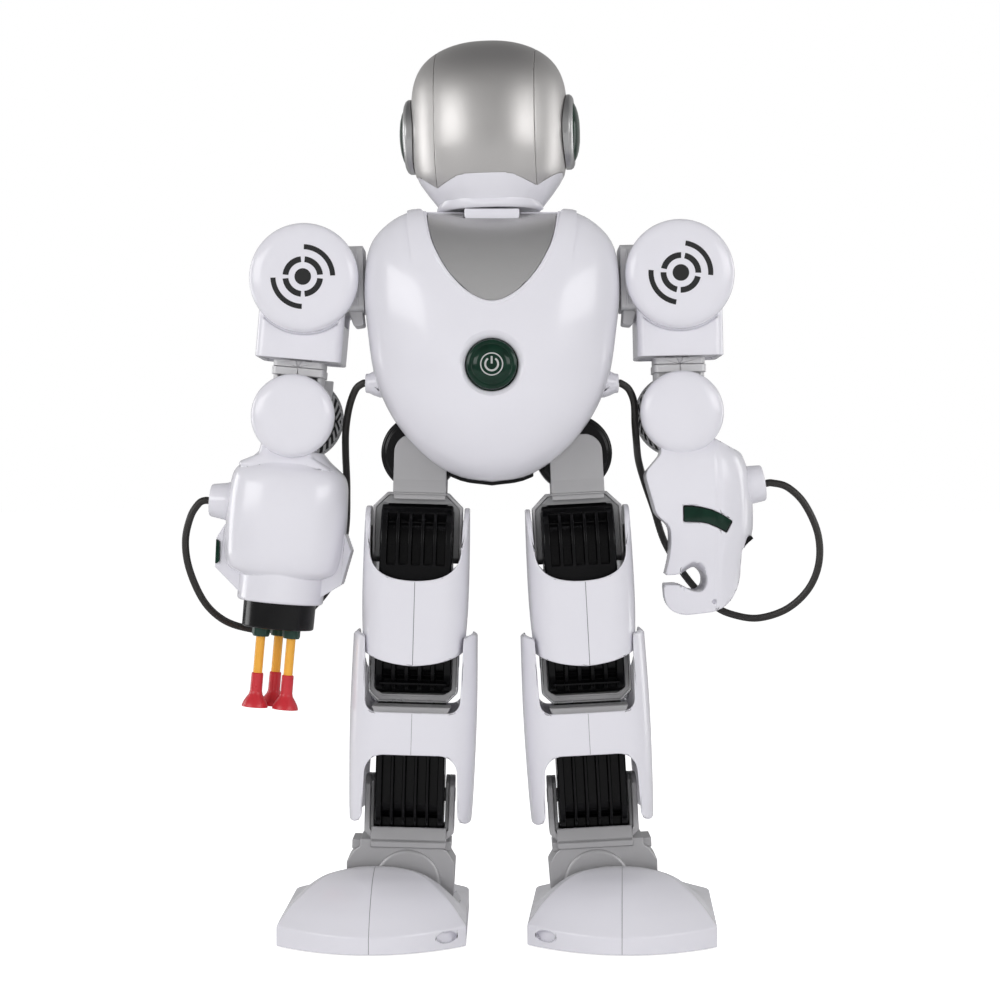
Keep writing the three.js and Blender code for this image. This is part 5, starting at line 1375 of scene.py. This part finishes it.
for name, sign in SIGN.items():
    on_shoulder = placer(f"{name}_shoulder", shoulder_frame(name), name)
    near, far = sorted((sign * 16.8, sign * HUB_X))
    neck = block(near, far, -12, 12, -12, 16)
    hub = turned([(0, -12), (15.2, -12), (16, -11.2), (16, 11.2), (15.2, 12), (0, 12)], "y",
                 (sign * HUB_X, 0, 0), 72)
    low, high = sorted((sign * 7.8, sign * 17.8))
    bearing = plate(oblong(-12, 12, -14.2, 14.2, 2.5, 2.5), "x", low, high, 4)
    bands = [plate(oblong(-12.3, 12.3, -13.4, 13.4, 2, 2), "x", at - 0.6, at + 0.6, 4)
             for at in (sign * 10.6, sign * 14.4)]
    axle = bar("x", 5, *sorted((sign * -3, sign * 8.8)), 0, 0, 48)
    lug = plate([(sign * 8.4, -20, 1), (sign * 12.8, -20.6, 1), (sign * 15.2, -13.6),
                 (sign * 9, -13.6)], "y", -6, 9)
    on_shoulder(merged(neck, hub, bearing, *bands, axle, lug), "shoulder_block", swivel_grey,
                "grey", "shoulder_bracket", edge=0.3)

# ------------------------------------------------------------------ shoulder caps
# White domes in front of the hubs, each printed in black with a dot in a broken ring and two
# arcs outside it.
print_black = moulded("print_black", (0.012, 0.012, 0.013), 0.35, grain=900, bump=0.03, shade=0.3)
CAP_Y = -16.3
CAP_DOME = flat_curve([(23.6, 2.4), (23.3, 4.2), (21.9, 5.9), (19, 7.05), (14, 7.55), (7, 7.7),
                       (0, 7.72)], 5)
PRINT_TURN = {"left": 5, "right": -8}
for name in SIGN:
    on_arm = placer(f"{name}_upper_arm", arm_frame(name), name)
    on_cap = placer(f"{name}_upper_arm", arm_frame(name) @ Matrix.Translation((0, CAP_Y, 0)), name)
    cap = turned([(0, 0), (23.2, 0), (23.6, 0.4), *CAP_DOME], "y", (0, CAP_Y, 0), 128)
    on_arm(cap, "cap_dome", white, "white", "shoulder_cap", edge=0)
    skin = turned([(0, 3), (22, 3), *[(r, z + 0.06) for r, z in CAP_DOME if r < 21]], "y",
                  (0, 0, 0), 128)
    start = math.radians(PRINT_TURN[name])
    marks = [turned([(0, 2), (3.55, 2), (3.55, 9), (0, 9)], "y", (0, 0, 0), 64)]
    for quarter in range(4):
        marks.append(printed_ring(6.2, 8.7, 2, 9, math.radians(78),
                                  start + math.radians(90 * quarter + 6), 24))
    for half in (0, 1):
        marks.append(printed_ring(11.7, 13.9, 2, 9, math.radians(86),
                                  start + math.radians(180 * half + 2), 32))
    signs = carved(skin, merged(*marks), way="INTERSECT")
    on_cap(signs, "cap_print", print_black, "white", edge=0)

# ------------------------------------------------------------------ upper arms
# White glossy mouldings: a plate on either side of the hub over a square sleeve that holds the
# swivel's axle.
for name in SIGN:
    on_arm = placer(f"{name}_upper_arm", arm_frame(name), name)
    sleeve_box = plate([(-18.7, -17, 4), (-18.7, 19.7, 4), (18.7, 19.7, 4), (18.7, -17, 4)],
                       "z", -35, -8, 6)
    sleeve_box = carved(
        sleeve_box, block(-30, 30, -12.3, 12.3, -18.4, 0), block(-30, 30, -20, -16, -10, 0),
        plate(oblong(-16.5, 16.5, -35.5, -34), "y", -14.8, 17.8),
        bar("z", 5.3, -40, -26, 0, 0, 48),
        turned([(0, -40), (24.4, -40), (24.4, 40), (0, 40)], "y", (0, -56.4, 0), 96))
    front_disc = bar("y", 21.6, -16, -12.3, 0, 0, 96)
    rear_disc = turned([(0, -8.2), (21.6, -8.2), (23.2, -6.4), (23.2, -0.5), (0, -0.5)], "y",
                       (0, 11.8, 0), 96)
    arm = carved(sleeve_box, front_disc, rear_disc, way="UNION")
    on_arm(arm, "sleeve", white, "white", "upper_arm", edge=0.5, steps=3)

# ------------------------------------------------------------------ arm swivels
# Grey banded mouldings in two halves, with a notch over the seam, between the upper arm and
# the elbow.
for name in SIGN:
    on_swivel = placer(f"{name}_swivel", arm_frame(name), name)
    bands = [
        plate([(x * half, y * deep, 2) for x, y in ((-1, -1), (-1, 1), (1, 1), (1, -1))],
              "z", low, high, 4)
        for half, deep, low, high in (
            (11, 10.2, -38.2, -35.3), (11.4, 10.8, -41.8, -38.4), (10.8, 8.5, -46, -41.6))]
    notch = plate([(0, -38.4), (-1.6, -34.6), (1.6, -34.6)], "y", -12, -9.6)
    seam = block(-0.14, 0.14, -12, -9.8, -42, -36)
    top = carved(bands[0], notch, seam.copy())
    middle = carved(bands[1], seam)
    slab = block(-9, 9, -8.5, 8.5, -ARM_LENGTH, -41.3)
    hub = bar("y", 13, -8.5, 8.5, 0, -ARM_LENGTH, 72)
    axle = bar("z", 5, -37, -27, 0, 0, 48)
    if name == "left":
        middle = merged(middle, block(9, 14.2, 8.6, 11.6, -50, -42))
    on_swivel(merged(top, middle, bands[2], slab, hub, axle), "swivel_block", swivel_grey, "grey",
              "arm_swivel", edge=0.3)

# ------------------------------------------------------------------ elbows
# A white dome in front of each elbow and a black disc behind it, with cheeks either side of
# the swivel; the disc's rim is knurled and shows a silver net.
knurled = moulded("knurled_rim", (0.012, 0.012, 0.013), 0.35, grain=900, bump=0.05, shade=0.2)
tree = knurled.node_tree
shader = tree.nodes["Principled BSDF"]
tone = next(node for node in tree.nodes if node.type == "MIX")
net = add_node(tree, "Attribute", attribute_name="net")
silver_mix = add_node(tree, "Mix", {7: (0.62, 0.62, 0.63, 1)}, data_type="RGBA")
waves = []
for way in (1, -1):
    split = add_node(tree, "VectorMath", {1: (5.2, way * 6.6, 0)}, operation="DOT_PRODUCT")
    wave = add_node(tree, "Math", {1: 0.5}, operation="PINGPONG")
    wire(tree, (net.outputs["Vector"], split.inputs[0]), (split.outputs["Value"], wave.inputs[0]))
    waves.append(wave)
thin = add_node(tree, "Math", operation="MAXIMUM")
line = add_node(tree, "MapRange", {"From Min": 0.36, "From Max": 0.41})
wire(
    tree,
    (waves[0].outputs[0], thin.inputs[0]),
    (waves[1].outputs[0], thin.inputs[1]),
    (thin.outputs[0], line.inputs["Value"]),
    (line.outputs["Result"], silver_mix.inputs["Factor"]),
    (tone.outputs[2], silver_mix.inputs[6]),
    (silver_mix.outputs[2], shader.inputs["Base Color"]),
)
ELBOW_DOME = flat_curve([(18.1, 2.2), (17.9, 3.9), (16.7, 5.8), (14, 7.15), (9.6, 7.8), (4.6, 8),
                         (0, 8.05)], 5)
DISC_SHIFT = {"left": 1.0, "right": 0.2}
for name in SIGN:
    on_elbow = placer(f"{name}_forearm", elbow_frame(name), name)
    dome = turned([(0, 0), (17.8, 0), (18.1, 0.3), *ELBOW_DOME], "y", (0, -12.8, 0), 112)
    on_elbow(dome, "elbow_dome", white, "white", "elbow_cap", edge=0)
    shift = DISC_SHIFT[name]
    disc = turned([(0, -21), (16.5, -21), (17.8, -20.2), (18.6, -18.6), (18.6, -17), (17.9, -13.6),
                   (17.6, -13.2), (0, -13.2)], "y", (shift, 0, 0), 112)
    cheeks = [bar("y", 16.5, *sides, 0, 0, 72) for sides in ((-12.5, -8.8), (8.8, 12.9))]
    rim = add_mesh(disc, f"{name}_elbow_rim", knurled, 32)
    rim.data.transform(elbow_frame(name))
    place = elbow_frame(name).inverted()
    chart = rim.data.attributes.new("net", "FLOAT_VECTOR", "POINT")
    for index, vert in enumerate(rim.data.vertices):
        at = place @ vert.co
        angle = math.atan2(at.z, at.x - shift)
        chart.data[index].vector = (abs(angle), at.y / 8, 0)
    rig.ride(rim, f"{name}_forearm")
    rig.replaces(rim, f"{name}_elbow_disc")
    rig.slot(rim, "black")
    on_elbow(merged(*cheeks), "elbow_cheeks", joint_black, "black", "elbow_disc", edge=0.4)

# ------------------------------------------------------------------ left forearm
# A white glossy launcher body that swells below the elbow over an angular skirt, with a dark
# green lens in its outer side, a round collar at its end and a gland for the hose.
limb = elbow_frame("left")
on_launcher = placer("left_forearm", limb)
GLAND_BORE, GLAND_LEVEL = 4.2, {"left": -39.6, "right": -31.5}
LAUNCHER_POWER, LEDGE_POWER = 2.7, 6  # how square the body and the ledge are in plan
# half width, front, back and height of the body's levels under the elbow's axis
FOREARM_LEVELS = [
    (13.6, -12.2, 12.2, -15), (17, -13.4, 13.4, -18.6), (20.8, -15.6, 15.2, -21.6),
    (23.8, -18.8, 18, -24.4), (25.3, -21, 20.4, -28.4), (25.9, -22.2, 21.6, -35),
    (26.3, -22.7, 22.3, -45), (26, -22.5, 22.2, -56), (25.2, -21.8, 21.4, -63),
    (23.6, -20.4, 20.2, -67.2), (20, -18.4, 18.4, -69.4), (16.6, -16.8, 16.8, -70.6),
]


def elbow_rooms():
    """Tools that clear a forearm for the elbow's cheeks and for the hub between them."""
    return bar("y", 17.3, -8.8, 8.8, 0, 0, 72), bar("y", 13.7, -30, 30, 0, 0, 72)


lines = level_line(FOREARM_LEVELS, 4)
outer = level_form(lines, LAUNCHER_POWER, around=128)
skirt = plate([(-26.4, -49.5), (-29.6, -55.6), (-29.2, -68.4), (-16, -79.8), (15.6, -79.6),
               (26.6, -71.6), (29.6, -56.6), (26.4, -49.5)], "y", -6, 13.4)
ledge = level_form([(11.6, -13, 12, -12.4), (12.6, -14, 12.6, -17.6), (19.8, -14.6, 12.8, -21.2),
                    (20.6, -15, 12.8, -22.4), (17, -14, 12, -28)], LEDGE_POWER)
bmesh.ops.translate(ledge, vec=(-1.8, 0, 0), verts=ledge.verts)
collar = turned([(0, -81.6), (18, -81.6), (18.8, -80.8), (19, -68), (0, -68)], "z", (0, 0, 0), 96)
cone = turned([(0, 22), (8.6, 22), (8.7, 26.2), (8.2, 27.4), (7.2, 33.4), (6.7, 34.2), (0, 34.2)],
              "-x", (0, 0, GLAND_LEVEL["left"]), 72)
cone_room = bar("x", GLAND_BORE, -40, -20, 0, GLAND_LEVEL["left"], 40)
body = carved(outer, skirt, ledge, collar, way="UNION")
lens_room = plate([(-30.6, -55.6), (-27.8, -57.2), (-27.2, -65.8), (-30.2, -67.8)], "y", -8, 9)
body = carved(body, *elbow_rooms(), bar("z", 15.9, -90, -69.4, 0, 0, 96), lens_room.copy())
on_launcher(body, "launcher_body", white, "white", "left_forearm_shell", edge=0.35)
lens = carved(lens_room, plate([(-29.4, -56.4), (-20, -55.9), (-20, -67.3), (-28.9, -67.9)],
                               "y", -7.7, 8.7), way="INTERSECT")
on_launcher(lens, "side_lens", dark_green, "green", edge=0.3)
on_launcher(carved(cone, cone_room), "left_gland", white, "white", "left_forearm_gland", edge=0.3)

# ------------------------------------------------------------------ muzzle and barrels
# A black round muzzle that holds three dark green barrels on a disc.
barrel_green = moulded("barrel_green", (0.008, 0.045, 0.03), 0.3, grain=700, bump=0.04, shade=0.3)
BARREL_PITCH = 7.7
BARRELS = [(BARREL_PITCH * math.cos(math.radians(a)), BARREL_PITCH * math.sin(math.radians(a)))
           for a in (90, 210, 330)]
muzzle = turned([(0, -92.6), (12.9, -92.6), (13.2, -93), (15.2, -93), (15.7, -92.4),
                 (15.8, -84), (15.8, -70.8), (15.3, -70.3), (0, -70.3)], "z", (0, 0, 0), 96)
muzzle = carved(muzzle, bar("z", 13.4, -91.2, -70.6, 0, 0, 64),
                *[bar("z", 3.9, -100, -88, x, y, 40) for x, y in BARRELS])
on_launcher(muzzle, "muzzle_ring", gloss_black, "black", "launcher_muzzle", edge=0.2)
tubes = [
    carved(turned([(0, -97), (3.3, -97), (3.6, -96.7), (3.6, -70.4), (0, -70.4)], "z",
                  (x, y, 0), 40), bar("z", 2.25, -100, -71, x, y, 40)) for x, y in BARRELS]
flats = [
    plate([(3.2 * math.cos(a + k) + x, 3.2 * math.sin(a + k) + y) for k in (-0.5, 0.5)]
          + [(4.0 * math.cos(a + k) + x, 4.0 * math.sin(a + k) + y) for k in (0.34, -0.34)],
          "z", -96.2, -88)
    for x, y in BARRELS for a in (math.radians(-150), math.radians(-30), math.radians(90))]
breech = bar("z", 14.8, -70.2, -68.2, 0, 0, 72)
on_launcher(merged(*tubes, *flats, breech), "barrels", barrel_green, "green", "launcher_barrels",
            edge=0.15)

# ------------------------------------------------------------------ darts
# Three soft darts: an orange shaft in each barrel, held in a red sleeve with a suction cup.
dart_orange = moulded("dart_orange", (1.0, 0.46, 0.05), 0.4, grain=900, bump=0.04, shade=0.1)
dart_red = moulded("dart_red", (0.62, 0.028, 0.04), 0.3, grain=900, bump=0.03, shade=0.1)
for index, (x, y) in enumerate(BARRELS):
    dart = f"dart_{index + 1}"
    on_dart = placer(dart, limb @ Matrix.Translation((x, y, 0)))
    shaft = turned([(0, -114), (2.02, -114), (2.02, -74), (1.6, -73.3), (0, -73.3)], "z",
                   (0, 0, 0), 40)
    on_dart(shaft, f"{dart}_shaft", dart_orange, "dart", dart, edge=0)
    cup = turned([(0, -126.5), (2.6, -127), (5, -128), (5.7, -128), (5.7, -127.5), (5.2, -126),
                  (4.2, -124.2), (3.1, -122.6), (2.66, -121), (2.6, -113.4), (2.3, -113),
                  (0, -113)], "z", (0, 0, 0), 48)
    on_dart(cup, f"{dart}_cup", dart_red, "dart", dart, edge=0)

# ------------------------------------------------------------------ right forearm
# A white glossy body with a crease down its front that runs on into a hooked claw, a curved
# dark window, a dark slit under its outer corner and a gland for the hose.
limb = elbow_frame("right")
on_claw = placer("right_forearm", limb)
CREASE_X = 12.8
WINDOW_X, WINDOW_Z = 9.6, -45.6  # the window's middle
# right edge, front at the crease, how far the left face turns back there, and height
CLAW_LEVELS = [
    (22.0, -13.0, 0.4, -10.6), (24.2, -16.4, 0.4, -15.0), (28.2, -19.0, 0.4, -19.6),
    (30.6, -20.0, 0.4, -27.0), (31.8, -20.1, 0.5, -38.0), (32.0, -20.0, 0.9, -46.0),
    (31.0, -19.2, 2.8, -53.0), (28.4, -17.4, 3.6, -61.0), (26.6, -15.4, 3.4, -69.0),
    (25.8, -13.6, 2.4, -78.0), (24.6, -12.2, 1.8, -86.0), (23.0, -11.0, 1.4, -93.0)]
CLAW_OUTLINE = [
    (-9.4, -12.4), (-9.6, -17.8, 1.2), (-16.2, -25.4, 1.4), (-16.4, -28, 1.4), (-12.1, -44.2, 2),
    (-6.2, -49.4, 2.4), (-5.8, -60, 5), (-8.6, -70.6, 0.8), (-9.3, -76, 1), (-8.9, -82, 2),
    (-7.0, -85.6, 2.6), (-1.4, -88.3, 3), (15.6, -86.6, 5), (24.4, -78, 7), (25.2, -66, 4),
    (25.5, -60.3, 0.5), (30.7, -56, 0.9), (31.4, -53, 0.9), (31.2, -40, 4), (28.9, -24.6, 1.6),
    (26.3, -17.6, 1.4), (21.6, -15.6, 1.4), (14, -11.4)]
MOUTH = [
    (-16, -70.6), (-2.4, -70.5, 2), (1, -68.4, 1.2), (4, -66.8, 1.6), (7, -68.2, 1.6),
    (9.2, -71.2, 1.6), (9, -75.4, 1.6), (6.4, -78, 1.4), (2.4, -77, 1.4), (-2, -74.4, 2),
    (-8.4, -74.6, 1), (-16, -75.4)]


def claw_form(inset=0.0):
    """The claw's closed form in plan: a facet each side of the crease and a rounded flank."""
    lines = level_line(CLAW_LEVELS, 4)
    flank = flat_curve([(0, 0), (0.04, 0.006), (0.09, 0.017), (0.16, 0.021), (0.26, 0.04),
                        (0.46, 0.14), (0.7, 0.34), (0.9, 0.68), (1, 1)], 4)
    half = [(-21, 0, 0), (-21, 0.8, 3), (-18.6, 1, 1.3), (-9, 1, 0.66), (-1.9, 1, 0.06),
            (-0.6, 1, 0), (6, 1, 0)]
    around = 2 * (len(half) + len(flank) - 1)

    def place(share, row):
        right, front, turn, z = lines[row]
        step = round(share * around) % around
        way = 1 if step <= around // 2 else -1
        step = min(step, around - step)
        if step < len(half):
            x, deep, part = half[step]
            y = front * deep + turn * part
        else:
            across, back = flank[step - len(half)]
            x = CREASE_X + (right - CREASE_X) * across - inset * across
            y = front * (1 - back)
        return x, way * min(-0.02, y + inset), z

    return wrapped(around, len(lines) - 1, place)


def claw_window(shrink, outer, inner):
    """A part of the window that follows the front, between two depths under its surface."""
    line = [(-0.8, -40.2), (3, -40.3), (7, -41), (11.7, -42.3), (16.4, -44.6), (20.8, -47.6),
            (18, -52.6), (14.1, -50.3), (9.8, -48.4), (5.5, -47.6), (-0.8, -47.4)]
    wide, high = 1 - shrink, 1 - 2.4 * shrink
    corners = [(WINDOW_X + (x - WINDOW_X) * wide, WINDOW_Z + (z - WINDOW_Z) * high, 0.7)
               for x, z in line]
    band = plate(corners, "y", -30, -6)
    if outer is not None:
        band = carved(band, claw_form(outer), way="INTERSECT")
    return carved(band, claw_form(inner))


form = carved(claw_form(), plate(CLAW_OUTLINE, "y", -30, 30, 5), way="INTERSECT")
for vert in form.verts:  # the left edge draws in towards the back
    if vert.co.x < 3:
        vert.co.x += max(0, vert.co.y + 15) * 0.04
flare = plate(MOUTH, "y", -17.5, -10.5)
for vert in [vert for vert in flare.verts if vert.co.y < -17]:  # the mouth widens in front
    vert.co.x += 0.9 if vert.co.x > 5 else -0.3
    vert.co.z += 3.0 if vert.co.z > -70 else -0.9 if vert.co.z < -73 else 0.4
slit_line = [(25.2, -60.2), (31.2, -55.2), (30, -53.6), (24.6, -58)]
rivet_hole = bar("y", 0.9, -14, -11, 12.6, -82.4, 24)
body = carved(form, plate(MOUTH, "y", -30, 30), flare, *elbow_rooms(),
              claw_window(0, None, 1.2), plate(slit_line, "y", -7.4, 7.4), rivet_hole)
on_claw(body, "claw_body", white, "white", "right_forearm_shell", edge=0.6, steps=3)
on_claw(claw_window(0.006, 0.25, 1.1), "claw_window_frame", gloss_black, "black", edge=0.15)
on_claw(claw_window(0.05, 0.1, 1), "claw_glass", dark_green, "green", "claw_window", edge=0.12)
on_claw(plate([(25.9, -59.4), (30.8, -55.4), (29.8, -54), (25, -57.8)], "y", -7.2, 7.2),
        "claw_slit", gloss_black, "black", edge=0.2)
cone = turned([(0, 26), (8.5, 26), (8.3, 31.6), (7.9, 35.9), (7.4, 36.5), (0, 36.5)],
              "x", (0, 0, GLAND_LEVEL["right"]), 72)
cone_room = bar("x", GLAND_BORE, 24, 40, 0, GLAND_LEVEL["right"], 40)
bmesh.ops.rotate(cone, cent=(34, 0, GLAND_LEVEL["right"]), verts=cone.verts,
                 matrix=Matrix.Rotation(math.radians(-8), 3, "Y"))
on_claw(carved(cone, cone_room), "right_gland", white, "white", "right_forearm_gland", edge=0.3)

# ------------------------------------------------------------------ size of the finished model
seen_low, seen_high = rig.bounds()
with open("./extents.json", "w") as sizes:
    json.dump({"cad": [list(cad_low), list(cad_high)],
               "visual": [list(seen_low), list(seen_high)]}, sizes)
